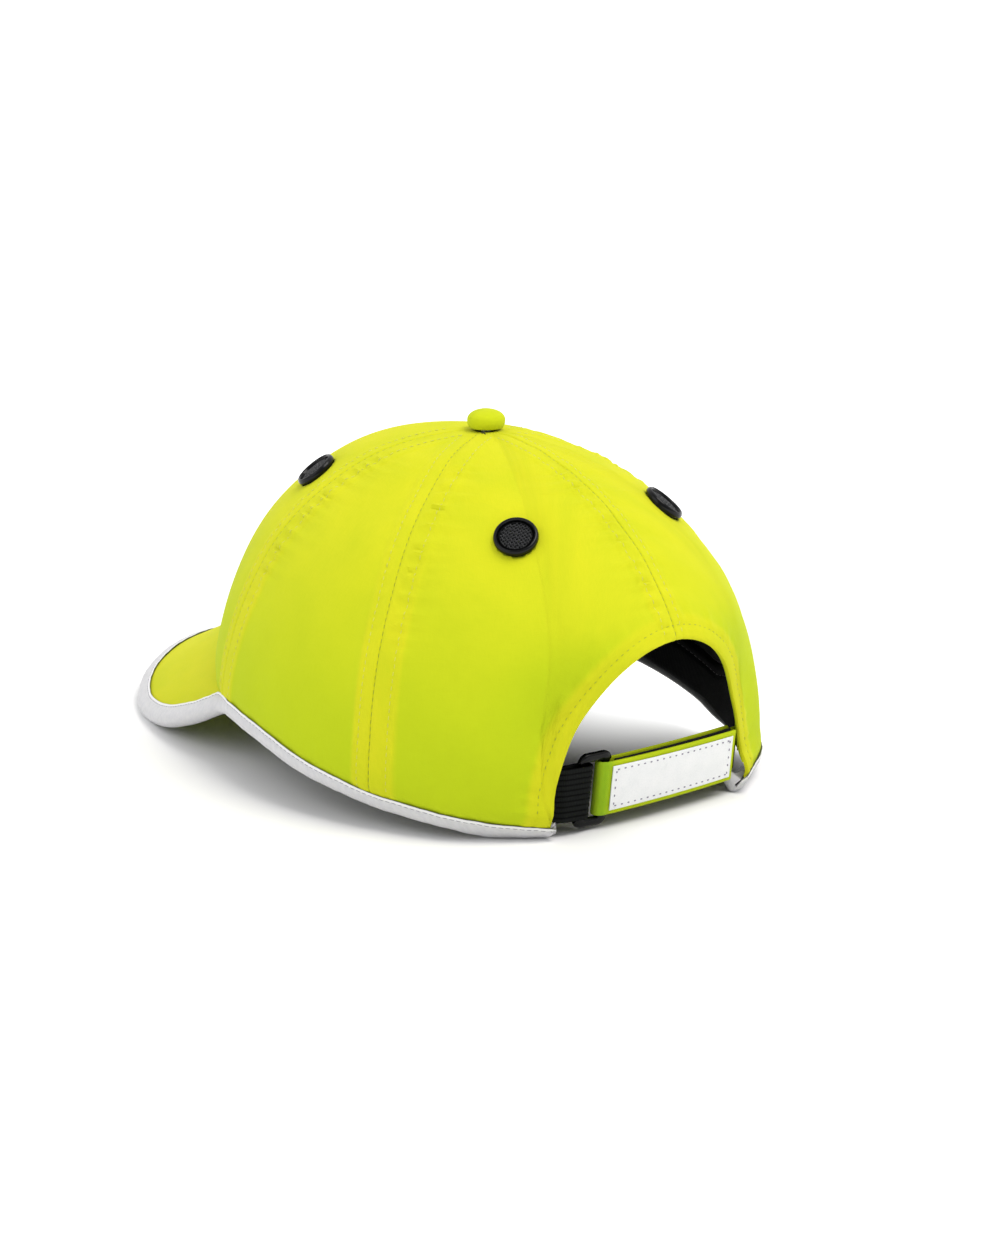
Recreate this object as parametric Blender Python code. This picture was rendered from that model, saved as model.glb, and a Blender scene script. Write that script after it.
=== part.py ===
"""Bump cap: a five-panel fabric cap over a hard inner shell, with a bent peak, mesh eyelets and a rear strap.

Lengths in this file are millimetres; make_object turns them into metres.
+Z is up, the peak points to -Y, and the wearer's left is +X. The cap stands on Z = 0.
Angles round the crown are degrees from the front (-Y) towards +X.
"""

import math

import bmesh
import bpy
from mathutils import Matrix, Vector

MM = 0.001

# Crown: plan half axes, and heights measured from its widest level.
HALF_WIDTH = 88.7
FRONT_REACH = 113.7
REAR_REACH = 110.6
CROWN_RISE = 104.0
WIDEST_LEVEL = 18.1
LOWER_WALL_RADIUS = 35.4
CENTRE_SHIFT_Y = 35.55

# Rear opening: half an ellipse standing on the floor, and the pulled-in wall around it.
OPENING_HALF_WIDTH = 44.5
OPENING_HEIGHT = 65.6
REAR_CORNER = 148.0
PULL_IN = 0.09
PULL_IN_TOP = 54.0
PULL_IN_DEPTH = 38.0

# Seams between the five panels.
FRONT_SEAM = 62.2
SIDE_SEAM = 110.4
REAR_SEAM = 180.0
PANEL_THICKNESS = 1.0
SEAM_GAP = 0.3
COLUMN_STEP = 7.6
PANEL_ROWS = 14
APEX_HOLE_RADIUS = 4.5
TAPE_WIDTH = 9.0
TAPE_THICKNESS = 0.4
TAPE_DEPTH = 1.7

# Lower edge and its folded binding.
EDGE_LEVEL = 2.2
EDGE_SLOPE = 18.2
BINDING_WIDTH = 5.0
BINDING_LIP = 0.6
BINDING_CLEARANCE = 0.3
FOOT_START = 126.0
FOOT_LENGTH = 12.0

# Peak: a superellipse outline on a saddle-like height field.
PEAK_HALF_WIDTH = 79.7
PEAK_REACH = 125.7
PEAK_CENTRE_Y = -45.7
PEAK_EXPONENT = 2.213
PEAK_ROOT_Y = -113.4
PEAK_ROOT_LEVEL = 20.5
PEAK_SLOPE = 0.4385
PEAK_BEND = 0.00695
PEAK_BEND_GAIN = 0.00085
PEAK_BEND_LENGTH = 74.2
PEAK_CURL = 3.11e-8
PEAK_END = 64.0
PEAK_OUTLINE_END = 88.7
PEAK_SPAN = 0.965
PEAK_COLUMNS = 24
PEAK_COVER = 0.7
PEAK_BOARD = 2.0
PEAK_GAP = 0.3

# Hard shell, pads and sweatband: depths inwards from the outside of the fabric.
SHELL_DEPTH = 2.6
SHELL_THICKNESS = 2.0
PAD_DEPTH = 5.4
PAD_THICKNESS = 5.0
BAND_DEPTH = 6.2
BAND_THICKNESS = 3.0
BAND_END = 138.0
SHELL_SLOTS = (-165.0, -90.0, -20.0, 20.0, 90.0, 165.0)
SLOT_MERIDIAN = 0.6

# Eyelets.
EYELET_RADIUS = 7.85
EYELET_HOLE = 7.2
EYELET_PROUD = 2.1
EYELETS = {
    "rear_left": (143.2, 80.0),
    "rear_right": (-144.6, 81.8),
    "front_left": (45.5, 85.9),
    "front_right": (-45.5, 85.9),
}

# Strap: plan positions at the middle of its width.
STRAP_LEVEL = 14.8
STRAP_WIDTH = 19.6
TAIL_END_WIDTH = 18.8
SEWN_NARROWING = 2.8
STRAP_Y = 87.2
STRAP_BOW = 2.0
WEB = 1.0
FOLD_RADIUS = 2.0
BUCKLE_X = 25.1
BAR_SPACING = 8.4
BAR_RADIUS = 1.0
BUCKLE_HEIGHT = 27.0
BUCKLE_THICKNESS = 2.4
RAIL_HEIGHT = 3.4
RAIL_OVERHANG = 1.7
TAIL_END_X = -39.0
PILE = 1.5
TAIL_START = 0.6


def clear_scene():
    for old in list(bpy.data.objects):
        bpy.data.objects.remove(old)


def material(name, colour, roughness, metallic=0.0):
    made = bpy.data.materials.get(name) or bpy.data.materials.new(name)
    made.use_nodes = True
    shader = made.node_tree.nodes["Principled BSDF"]
    shader.inputs["Base Color"].default_value = (*colour, 1.0)
    shader.inputs["Roughness"].default_value = roughness
    shader.inputs["Metallic"].default_value = metallic
    return made


def fabric():
    return material("crown_fabric", (0.58, 0.72, 0.02), 0.75)


def lining():
    return material("lining", (0.012, 0.014, 0.015), 0.8)


def foam():
    return material("foam", (0.02, 0.02, 0.022), 0.9)


def reflective():
    return material("reflective_tape", (0.72, 0.72, 0.72), 0.4)


def shell_plastic():
    return material("shell_plastic", (0.02, 0.02, 0.022), 0.45)


def eyelet_plastic():
    return material("eyelet_plastic", (0.016, 0.018, 0.018), 0.35)


def board_plastic():
    return material("peak_board", (0.75, 0.75, 0.72), 0.6)


def webbing():
    return material("webbing", (0.012, 0.013, 0.014), 0.7)


def buckle_plastic():
    return material("buckle_plastic", (0.02, 0.02, 0.022), 0.25)


def rivet_metal():
    return material("rivet_metal", (0.55, 0.55, 0.55), 0.35, 1.0)


def smoothstep(value):
    value = min(max(value, 0.0), 1.0)
    return value * value * (3.0 - 2.0 * value)


def mix(first, second, amount):
    return first + (second - first) * amount


def steps(first, last, count):
    return [mix(first, last, i / count) for i in range(count + 1)]


# ---------------------------------------------------------------- crown surface


def rise_power(theta):
    return 2.11 + 0.19 * math.cos(2 * math.radians(theta))


def plan_power(theta):
    angle = math.radians(theta)
    return 2.10 + 0.18 * math.cos(angle) + 0.09 * math.cos(2 * angle)


def level_to_meridian(theta, level):
    """The meridian parameter, 0 at the widest level and 1 at the apex, negative below the widest level."""
    if level <= 0:
        return level / CROWN_RISE
    lift = min(level / CROWN_RISE, 1.0) ** (rise_power(theta) / 2)
    return math.asin(lift) / (math.pi / 2)


def meridian_to_level(theta, meridian):
    if meridian <= 0:
        return meridian * CROWN_RISE
    return CROWN_RISE * math.sin(meridian * math.pi / 2) ** (2 / rise_power(theta))


def spread(theta, meridian):
    """The share of the plan's full radius at a point of a meridian."""
    if meridian <= 0:
        drop = meridian * CROWN_RISE / LOWER_WALL_RADIUS
        return math.sqrt(max(1.0 - drop * drop, 0.05))
    return max(math.cos(min(meridian, 1.0) * math.pi / 2), 0.0) ** (2 / plan_power(theta))


def pull_in(theta, level):
    """The strap draws the wall around the rear opening forwards."""
    sideways = smoothstep((abs(theta) - 128.0) / 22.0)
    below_top = smoothstep((PULL_IN_TOP - level) / PULL_IN_DEPTH)
    above_edge = smoothstep((level + 16.0) / 16.0)
    return 1.0 - PULL_IN * sideways * below_top * above_edge


def crown_surface(theta, meridian):
    angle = math.radians(theta)
    share = spread(theta, meridian)
    level = meridian_to_level(theta, meridian)
    reach = FRONT_REACH if math.cos(angle) > 0 else REAR_REACH
    folded = theta if abs(theta) <= 180 else 360 - abs(theta)
    x = HALF_WIDTH * math.sin(angle) * share
    y = -reach * math.cos(angle) * share * pull_in(folded, level)
    return Vector((x, y, level + WIDEST_LEVEL))


def crown_normal(theta, meridian):
    if meridian > 0.999:
        return Vector((0.0, 0.0, 1.0))
    along = crown_surface(theta + 0.1, meridian) - crown_surface(theta - 0.1, meridian)
    up = crown_surface(theta, meridian + 0.0005) - crown_surface(theta, meridian - 0.0005)
    return along.cross(up).normalized()


def crown_point(theta, meridian, depth=0.0):
    return crown_surface(theta, meridian) - depth * crown_normal(theta, meridian)


def plan_radius(theta, meridian):
    return crown_surface(theta, meridian).xy.length


def rear_angle(x, level):
    """The angle at which the rear wall has a given x, at a height above the widest level."""
    theta = 180.0
    for _ in range(6):
        share = spread(theta, level_to_meridian(theta, level))
        theta = 180.0 - math.degrees(math.asin(min(abs(x) / (HALF_WIDTH * share), 1.0)))
    return math.copysign(theta, x)


def peak_top(x, y):
    """Height of the peak's upper face."""
    forward = -(y - PEAK_ROOT_Y) / PEAK_BEND_LENGTH
    bend = PEAK_BEND + PEAK_BEND_GAIN * forward
    level = PEAK_ROOT_LEVEL + PEAK_SLOPE * (y - PEAK_ROOT_Y) - bend * x * x - PEAK_CURL * x**4
    return level + WIDEST_LEVEL


def crown_edge(theta):
    """Level of the crown's lower edge: on the peak in front, and a gentle slope down to the rear."""
    angle = math.radians(theta)
    share = spread(theta, 0.13)
    root = peak_top(HALF_WIDTH * share * math.sin(angle), -FRONT_REACH * share * math.cos(angle))
    on_peak = root - WIDEST_LEVEL + 0.4
    free = EDGE_LEVEL + EDGE_SLOPE * math.cos(angle)
    return mix(on_peak, free, smoothstep((abs(theta) - 57.0) / 12.0))


def opening_point(turn, grow=0.0):
    """A point of the rear opening's outline as (x, level); turn is 0 at the floor and 90 at its top."""
    angle = math.radians(turn)
    x = (OPENING_HALF_WIDTH + grow) * math.cos(angle)
    height = (OPENING_HEIGHT + grow) * math.sin(angle)
    return x, height - WIDEST_LEVEL


# ---------------------------------------------------------------- mesh helpers


def make_object(name, mesh_bm, paint, smooth_angle=35.0):
    """Moves a millimetre bmesh to the cap's frame, in metres, and links it as one object."""
    bmesh.ops.remove_doubles(mesh_bm, verts=mesh_bm.verts, dist=0.002)
    bmesh.ops.dissolve_degenerate(mesh_bm, edges=mesh_bm.edges, dist=0.001)
    place = Matrix.Scale(MM, 4) @ Matrix.Translation((0.0, CENTRE_SHIFT_Y, 0.0))
    bmesh.ops.transform(mesh_bm, matrix=place, verts=mesh_bm.verts)
    bmesh.ops.recalc_face_normals(mesh_bm, faces=mesh_bm.faces)
    mesh = bpy.data.meshes.new(name)
    mesh_bm.to_mesh(mesh)
    mesh_bm.free()
    mesh.materials.append(paint)
    mesh.shade_smooth()
    mesh.set_sharp_from_angle(angle=math.radians(smooth_angle))
    made = bpy.data.objects.new(name, mesh)
    bpy.context.collection.objects.link(made)
    return made


def closed_sheet(name, outer, inner, paint, ring=False):
    """A closed solid between two equal grids of points, given as lists of rows."""
    made = bmesh.new()
    rows, columns = len(outer), len(outer[0])
    upper = [[made.verts.new(p) for p in row] for row in outer]
    lower = [[made.verts.new(p) for p in row] for row in inner]
    spans = columns if ring else columns - 1
    for j in range(rows - 1):
        for i in range(spans):
            k = (i + 1) % columns
            made.faces.new((upper[j][i], upper[j][k], upper[j + 1][k], upper[j + 1][i]))
            made.faces.new((lower[j][i], lower[j + 1][i], lower[j + 1][k], lower[j][k]))
    for j in (0, rows - 1):
        for i in range(spans):
            k = (i + 1) % columns
            made.faces.new((upper[j][i], upper[j][k], lower[j][k], lower[j][i]))
    if not ring:
        for i in (0, columns - 1):
            for j in range(rows - 1):
                made.faces.new((upper[j][i], upper[j + 1][i], lower[j + 1][i], lower[j][i]))
    return make_object(name, made, paint)


def crown_patch(name, columns, meridians, depth, thickness, paint, rows=PANEL_ROWS, ring=False, edge_gap=0.0):
    """A curved slab under the crown's surface; meridians(theta, t) gives its rows, t from 0 to 1."""

    def grid(at_depth):
        lines = []
        for share in steps(0.0, 1.0, rows):
            line = []
            for i, theta in enumerate(columns):
                meridian = meridians(theta, share)
                inset = 0.0
                if edge_gap and i in (0, len(columns) - 1):
                    radius = max(plan_radius(theta, meridian), 1.0)
                    inset = math.degrees(edge_gap / 2 / radius) * (1 if i == 0 else -1)
                line.append(crown_point(theta + inset, meridian, at_depth))
            lines.append(line)
        return lines

    return closed_sheet(name, grid(depth), grid(depth + thickness), paint, ring)


def tube(name, rings, paint):
    """A closed solid through equal rings of points, with flat ends."""
    made = bmesh.new()
    made_rings = [[made.verts.new(p) for p in ring] for ring in rings]
    count = len(made_rings[0])
    for ring, following in zip(made_rings, made_rings[1:]):
        for i in range(count):
            k = (i + 1) % count
            made.faces.new((ring[i], ring[k], following[k], following[i]))
    made.faces.new(made_rings[0])
    made.faces.new(list(reversed(made_rings[-1])))
    return make_object(name, made, paint)


def turned(name, profile, paint, frame, segments=18):
    """A closed turned solid; the profile runs round its section as (radius, height)."""
    made = bmesh.new()
    rings = []
    for i in range(segments):
        turn = 2 * math.pi * i / segments
        rings.append([made.verts.new((r * math.cos(turn), r * math.sin(turn), z)) for r, z in profile])
    for i in range(segments):
        near, far = rings[i], rings[(i + 1) % segments]
        for j in range(len(profile)):
            k = (j + 1) % len(profile)
            corners = (near[j], near[k], far[k], far[j])
            made.faces.new(corners)
    bmesh.ops.remove_doubles(made, verts=made.verts, dist=0.001)
    bmesh.ops.dissolve_degenerate(made, edges=made.edges, dist=0.001)
    bmesh.ops.transform(made, matrix=frame, verts=made.verts)
    return make_object(name, made, paint)


def facing(origin, normal, along=Vector((0.0, 0.0, 1.0))):
    """A frame whose Z is the given normal and whose Y leans towards `along`."""
    side = along.cross(normal).normalized()
    up = normal.cross(side)
    turn = Matrix((side, up, normal)).transposed().to_4x4()
    return Matrix.Translation(origin) @ turn


def cut(target, cutters):
    """Subtracts each cutter from the target with an exact Boolean."""
    for cutter in cutters:
        boolean = target.modifiers.new("cut_" + cutter.name, "BOOLEAN")
        boolean.operation = "DIFFERENCE"
        boolean.solver = "EXACT"
        boolean.object = cutter


def as_cutter(made):
    made.hide_render = True
    made.display_type = "WIRE"
    return made


# ---------------------------------------------------------------- crown


def panel_columns(start, end):
    count = max(2, round(abs(end - start) / COLUMN_STEP))
    return steps(start, end, count)


def apex_meridian(theta):
    """Where a meridian ends, just outside the button's hole."""
    low, high = 0.8, 1.0
    for _ in range(30):
        middle = (low + high) / 2
        if plan_radius(theta, middle) > APEX_HOLE_RADIUS:
            low = middle
        else:
            high = middle
    return low


def panel_rows(theta, share):
    """Rows of a panel: the first step is the hem inside the binding, the rest rise to the apex."""
    first_step = 1.0 / PANEL_ROWS
    edge = level_to_meridian(theta, panel_edge(theta))
    if share < first_step + 0.001:
        return mix(level_to_meridian(theta, panel_edge(theta) - hem(theta)), edge, share / first_step)
    return mix(edge, apex_meridian(theta), (share - first_step) / (1.0 - first_step))


def hem(theta):
    """How far the fabric runs down into the binding; there is none over the peak and the rear opening."""
    if abs(theta) > REAR_CORNER + 0.01:
        return 0.0
    return (BINDING_WIDTH - 1.5) * smoothstep((abs(theta) - 60.0) / 6.0)


def rear_columns(side):
    """Angles of a rear panel's columns: even up to the corner, then spaced along the opening."""
    columns = panel_columns(SIDE_SEAM, REAR_CORNER)
    first = math.degrees(math.asin((crown_edge(REAR_CORNER) + WIDEST_LEVEL) / OPENING_HEIGHT))
    for turn in steps(first, 90.0, 9)[1:]:
        x, level = opening_point(turn)
        columns.append(rear_angle(x, level) if turn < 90 else 180.0)
    return [side * theta for theta in columns]


def panel_edge(theta):
    """Level of a panel's visible lower edge: the crown's edge, then the rear opening's outline."""
    if abs(theta) <= REAR_CORNER + 0.01:
        return crown_edge(theta)
    low, high = 0.0, 90.0
    for _ in range(30):
        middle = (low + high) / 2
        x, level = opening_point(middle)
        if abs(rear_angle(max(x, 1e-6), level)) < abs(theta):
            low = middle
        else:
            high = middle
    return opening_point(high)[1]


def eyelet_frame(name):
    theta, level = EYELETS[name]
    meridian = level_to_meridian(theta, level)
    return facing(crown_point(theta, meridian), crown_normal(theta, meridian))


def eyelet_cutter(name):
    profile = [(0.0, 8.0), (EYELET_HOLE, 8.0), (EYELET_HOLE, -9.0), (0.0, -9.0)]
    return as_cutter(turned("cutter_" + name, profile, eyelet_plastic(), eyelet_frame(name)))


def make_panels(cutters):
    front = crown_patch(
        "front_panel", panel_columns(-FRONT_SEAM, FRONT_SEAM), panel_rows, 0.0, PANEL_THICKNESS, fabric(),
        edge_gap=SEAM_GAP,
    )
    cut(front, [cutters["front_left"], cutters["front_right"]])
    for side, word in ((1, "left"), (-1, "right")):
        columns = [side * theta for theta in panel_columns(FRONT_SEAM, SIDE_SEAM)]
        if side < 0:
            columns.reverse()
        crown_patch(
            "side_panel_" + word, columns, panel_rows, 0.0, PANEL_THICKNESS, fabric(), edge_gap=SEAM_GAP
        )
        columns = rear_columns(side)
        if side < 0:
            columns.reverse()
        rear = crown_patch(
            "rear_panel_" + word, columns, panel_rows, 0.0, PANEL_THICKNESS, fabric(), edge_gap=SEAM_GAP
        )
        cut(rear, [cutters["rear_" + word]])


def make_seam_tapes():
    seams = {
        "front_left": FRONT_SEAM,
        "front_right": -FRONT_SEAM,
        "side_left": SIDE_SEAM,
        "side_right": -SIDE_SEAM,
        "rear": REAR_SEAM,
    }
    for word, theta in seams.items():
        top = 0.9
        low = 11.0 if word == "rear" else 6.0

        def grid(depth):
            rows = []
            for share in steps(0.0, 1.0, PANEL_ROWS):
                edge = opening_point(90.0)[1] if word == "rear" else crown_edge(theta)
                start = level_to_meridian(theta, edge + low)
                meridian = mix(start, top, share)
                half = math.degrees(TAPE_WIDTH / 2 / plan_radius(theta, meridian))
                rows.append([crown_point(theta + k * half, meridian, depth) for k in (-1, 0, 1)])
            return rows

        closed_sheet("seam_tape_" + word, grid(TAPE_DEPTH), grid(TAPE_DEPTH + TAPE_THICKNESS), lining())


def make_button():
    apex = crown_point(0.0, 1.0)
    upright = Matrix.Translation(apex)
    dome = [(6.75 * math.cos(a), 3.5 + 3.9 * math.sin(a)) for a in steps(0.0, math.pi / 2, 6)]
    profile = [(0.0, 2.6), (2.2, 2.6), (2.2, 0.8), (5.9, 0.6), (6.6, 1.9)] + dome
    turned("crown_button", profile, fabric(), upright)
    shank = [(0.0, 2.2), (1.8, 2.2), (1.8, -1.6), (5.6, -1.65), (5.6, -2.05), (0.0, -2.05)]
    turned("button_shank", shank, rivet_metal(), upright)


def make_opening_facing():
    """The turned hem behind the edge of the rear opening."""
    first = math.degrees(math.asin((crown_edge(REAR_CORNER) + WIDEST_LEVEL) / OPENING_HEIGHT)) + 10.0

    def grid(depth):
        rows = []
        for grow in (0.2, 5.0, 9.5):
            row = []
            for turn in steps(first, 180.0 - first, 36):
                x, level = opening_point(turn, grow)
                theta = rear_angle(x if abs(x) > 1e-6 else 1e-6, level)
                row.append(crown_point(theta, level_to_meridian(theta, level), depth))
            rows.append(row)
        return rows

    closed_sheet("opening_facing", grid(2.4), grid(2.9), fabric())


# ---------------------------------------------------------------- inner shell, pads, sweatband


def shell_rim(theta):
    """Level of the hard shell's lower rim, which rises over the rear opening."""
    folded = abs(theta) if abs(theta) <= 180 else 360 - abs(theta)
    low = crown_edge(folded) + 8.0
    return mix(low, 57.0, smoothstep((folded - 112.0) / 30.0))


def make_shell(cutters):
    columns = [i * 9.0 for i in range(40)]

    def meridians(theta, share):
        return mix(level_to_meridian(theta, shell_rim(theta)), 1.0, share)

    shell = crown_patch(
        "inner_shell", columns, meridians, SHELL_DEPTH, SHELL_THICKNESS, shell_plastic(), 9, ring=True
    )
    slots = []
    for theta in SHELL_SLOTS:
        frame = facing(crown_point(theta, SLOT_MERIDIAN), crown_normal(theta, SLOT_MERIDIAN))
        slots.append(slot_cutter(f"cutter_slot_{theta:.0f}", frame))
    cut(shell, list(cutters.values()) + slots)


def slot_cutter(name, frame, width=5.0, length=20.0):
    """A rounded slot, upright along the meridian."""
    made = bmesh.new()
    outline = []
    for end in (1, -1):
        for turn in steps(0.0, math.pi, 5):
            x = end * width / 2 * math.cos(turn)
            y = end * (length / 2 - width / 2 + width / 2 * math.sin(turn))
            outline.append((x, y))
    top = [made.verts.new((x, y, 3.0)) for x, y in outline]
    low = [made.verts.new((x, y, -8.0)) for x, y in outline]
    made.faces.new(top)
    made.faces.new(list(reversed(low)))
    for i in range(len(outline)):
        k = (i + 1) % len(outline)
        made.faces.new((top[i], low[i], low[k], top[k]))
    bmesh.ops.transform(made, matrix=frame, verts=made.verts)
    return as_cutter(make_object(name, made, shell_plastic()))


def make_pad(name, columns, low, high, ring=False):
    def meridians(theta, share):
        return mix(low, high, share)

    crown_patch(name, columns, meridians, PAD_DEPTH, PAD_THICKNESS, foam(), 4, ring)


def make_pads():
    make_pad("crown_pad", [i * 15.0 for i in range(24)], 0.72, 1.0, ring=True)
    make_pad("front_pad", steps(-44.0, 44.0, 10), 0.28, 0.46)
    make_pad("side_pad_left", steps(72.0, 112.0, 5), 0.2, 0.5)
    make_pad("side_pad_right", steps(-112.0, -72.0, 5), 0.2, 0.5)
    make_pad("rear_pad", steps(160.0, 200.0, 5), 0.4, 0.6)


def band_base(theta):
    return crown_edge(theta) + 1.5


def make_sweatband():
    def meridians(theta, share):
        level = band_base(theta) + share * band_height(theta)
        return level_to_meridian(theta, level)

    columns = steps(-BAND_END, BAND_END, 36)
    crown_patch("sweatband", columns, meridians, BAND_DEPTH, BAND_THICKNESS, lining(), 3)


def band_height(theta):
    """The sweatband stays below the front and side pads."""
    return 21.0 + 8.0 * smoothstep((abs(theta) - 115.0) / 15.0)


# ---------------------------------------------------------------- edge binding


def channel(reach, thickness):
    """A U section open upwards: (across, up) with the wrapped sheet between the lips."""
    clear, lip = BINDING_CLEARANCE, BINDING_LIP
    outer, inner = clear + lip, -(thickness + clear + lip)
    half = BINDING_LIP
    return [
        (outer, 0.0),
        (outer, -reach + half),
        (outer - half, -reach),
        (inner + half, -reach),
        (inner, -reach + half),
        (inner, 0.0),
        (inner + lip, 0.0),
        (inner + lip, -reach + 2 * half),
        (outer - lip, -reach + 2 * half),
        (outer - lip, 0.0),
    ]


def make_edge_bindings():
    """The folded tape on the lower edge: its section follows the wall, and its rear end stands on the floor."""
    bottom = -BINDING_WIDTH
    for side, word in ((1, "left"), (-1, "right")):
        columns = [PEAK_END + 2.0] + panel_columns(FRONT_SEAM, SIDE_SEAM)[1:-1]
        columns += panel_columns(SIDE_SEAM, REAR_CORNER)
        rings = []
        for theta in columns:
            foot = smoothstep((theta - FOOT_START) / FOOT_LENGTH)
            ring = []
            for across, up in channel(BINDING_WIDTH, PANEL_THICKNESS):
                meridian = level_to_meridian(theta, crown_edge(theta) + up)
                point = crown_point(side * theta, meridian, -across)
                if up == bottom:
                    point.z = mix(point.z, 0.0, foot)
                ring.append(point)
            rings.append(ring)
        flatten(tube("edge_binding_" + word, rings, reflective()))


def flatten(made):
    """Presses what would lie below the floor flat onto it."""
    for vertex in made.data.vertices:
        vertex.co.z = max(vertex.co.z, 0.0)


# ---------------------------------------------------------------- peak


def outline_point(turn, inset=0.0):
    """A point of the peak's outline; turn is 0 at the tip and 90 at the side."""
    angle = math.radians(abs(turn))
    x = (PEAK_HALF_WIDTH - inset) * math.sin(angle) ** (2 / PEAK_EXPONENT)
    y = PEAK_CENTRE_Y - (PEAK_REACH - inset) * math.cos(angle) ** (2 / PEAK_EXPONENT)
    return Vector((math.copysign(x, turn), y))


def peak_frame(x, y):
    """A point on the peak's upper face and its normal."""
    step = 0.05
    slope_x = (peak_top(x + step, y) - peak_top(x - step, y)) / (2 * step)
    slope_y = (peak_top(x, y + step) - peak_top(x, y - step)) / (2 * step)
    return Vector((x, y, peak_top(x, y))), Vector((-slope_x, -slope_y, 1.0)).normalized()


def peak_layer(name, depth, thickness, inset, tuck, paint):
    """One layer of the peak, from under the crown's edge out to the outline."""

    def grid(at_depth):
        rows = []
        for share in steps(0.0, 1.0, 4):
            row = []
            for across in steps(-PEAK_SPAN, PEAK_SPAN, PEAK_COLUMNS):
                theta = across * PEAK_END
                meridian = level_to_meridian(theta, crown_edge(theta))
                root = crown_point(theta, meridian, tuck).xy
                rim = outline_point(across * PEAK_OUTLINE_END, inset)
                spot = root.lerp(rim, share)
                point, normal = peak_frame(*spot)
                row.append(point - normal * at_depth)
            rows.append(row)
        return rows

    return closed_sheet(name, grid(depth), grid(depth + thickness), paint)


def make_peak():
    board = PEAK_COVER + PEAK_GAP
    under = board + PEAK_BOARD + PEAK_GAP
    peak_layer("peak_top_cover", 0.0, PEAK_COVER, 1.6, -0.3, fabric())
    peak_layer("peak_board", board, PEAK_BOARD, 1.6, 2.5, board_plastic())
    peak_layer("peak_under_cover", under, PEAK_COVER, 1.6, 0.3, fabric())
    make_peak_binding(under + PEAK_COVER)


def make_peak_binding(thickness):
    rings = []
    for across in steps(-PEAK_SPAN, PEAK_SPAN, PEAK_COLUMNS + 8):
        turn = across * PEAK_OUTLINE_END
        here = outline_point(turn)
        along = (outline_point(turn + 0.5) - outline_point(turn - 0.5)).normalized()
        outward = Vector((along.y, -along.x, 0.0))
        point, normal = peak_frame(*here)
        outward = (outward - normal * outward.dot(normal)).normalized()
        rings.append([point + normal * u - outward * (v + 4.0) for u, v in channel(4.0, thickness)])
    flatten(tube("peak_binding", rings, reflective()))


# ---------------------------------------------------------------- eyelets


def make_eyelets():
    for name in EYELETS:
        frame = eyelet_frame(name)
        ring = [
            (6.3, 1.7), (6.7, EYELET_PROUD), (7.3, EYELET_PROUD), (EYELET_RADIUS, 1.4), (EYELET_RADIUS, 0.35),
            (6.9, 0.35), (6.9, -7.1), (6.3, -7.1), (6.3, 0.2), (5.6, 0.2), (5.6, 0.6), (6.3, 0.6),
        ]
        turned("eyelet_ring_" + name, ring, eyelet_plastic(), frame)
        mesh_disc = [(0.0, 1.4), (6.0, 1.4), (6.0, 0.9), (0.0, 0.9)]
        turned("eyelet_mesh_" + name, mesh_disc, eyelet_plastic(), frame)
        washer = [(7.2, -5.6), (9.3, -5.6), (9.3, -6.7), (7.2, -6.8)]
        turned("eyelet_washer_" + name, washer, eyelet_plastic(), frame)


# ---------------------------------------------------------------- strap


def strap_y(x):
    """The strap's middle line in plan: a slight bow across the opening."""
    return STRAP_Y - STRAP_BOW * (x / 40.0) ** 2


def sewn_in(x):
    """How much narrower the webs are where they are sewn in behind the rear corners."""
    share = min(max((abs(x) - 39.6) / 1.8, 0.0), 1.0)
    return SEWN_NARROWING * share * share * (3.0 - 2.0 * share)


def ribbon(name, path, thickness, paint, width=STRAP_WIDTH, end_width=None):
    """A flat band standing on edge, along a plan path; its width may taper towards the path's end."""
    points = [Vector(p) for p in path]
    left, right = [], []
    for i, here in enumerate(points):
        before = points[max(i - 1, 0)]
        after = points[min(i + 1, len(points) - 1)]
        along = (after - before).normalized()
        side = Vector((-along.y, along.x)) * thickness / 2
        left.append(here + side)
        right.append(here - side)
    made_width = [mix(width, end_width or width, i / (len(points) - 1)) for i in range(len(points))]
    made_width = [w - sewn_in(p.x) for p, w in zip(points, made_width)]
    outer = [[Vector((p.x, p.y, STRAP_LEVEL + k * w / 2)) for p, w in zip(left, made_width)] for k in (-1, 1)]
    inner = [[Vector((p.x, p.y, STRAP_LEVEL + k * w / 2)) for p, w in zip(right, made_width)] for k in (-1, 1)]
    return closed_sheet(name, outer, inner, paint)


def arc(centre, radius, start, end, count):
    return [
        (centre[0] + radius * math.cos(math.radians(a)), centre[1] + radius * math.sin(math.radians(a)))
        for a in steps(start, end, count)
    ]


def layer_path(first, last, offset, count=10):
    return [(x, strap_y(x) + offset) for x in steps(first, last, count)]


def make_elastic():
    """A doubled web from inside the left wall, looped round the buckle's left bar."""
    bar_x = BUCKLE_X + BAR_SPACING / 2
    centre = (bar_x, strap_y(bar_x))
    radius = FOLD_RADIUS + WEB / 2
    front = [(49.0, 78.2), (46.5, 80.8), (44.5, 82.6), (41.0, 84.0), (37.5, 87.0)]
    back = [(38.0, 82.9), (41.0, 82.4), (44.5, 81.1), (46.5, 79.3), (48.0, 77.4)]
    fold = arc(centre, radius, 80.0, 275.0, 9)
    ribbon("elastic_web", front + fold + back, WEB, webbing())


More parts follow.
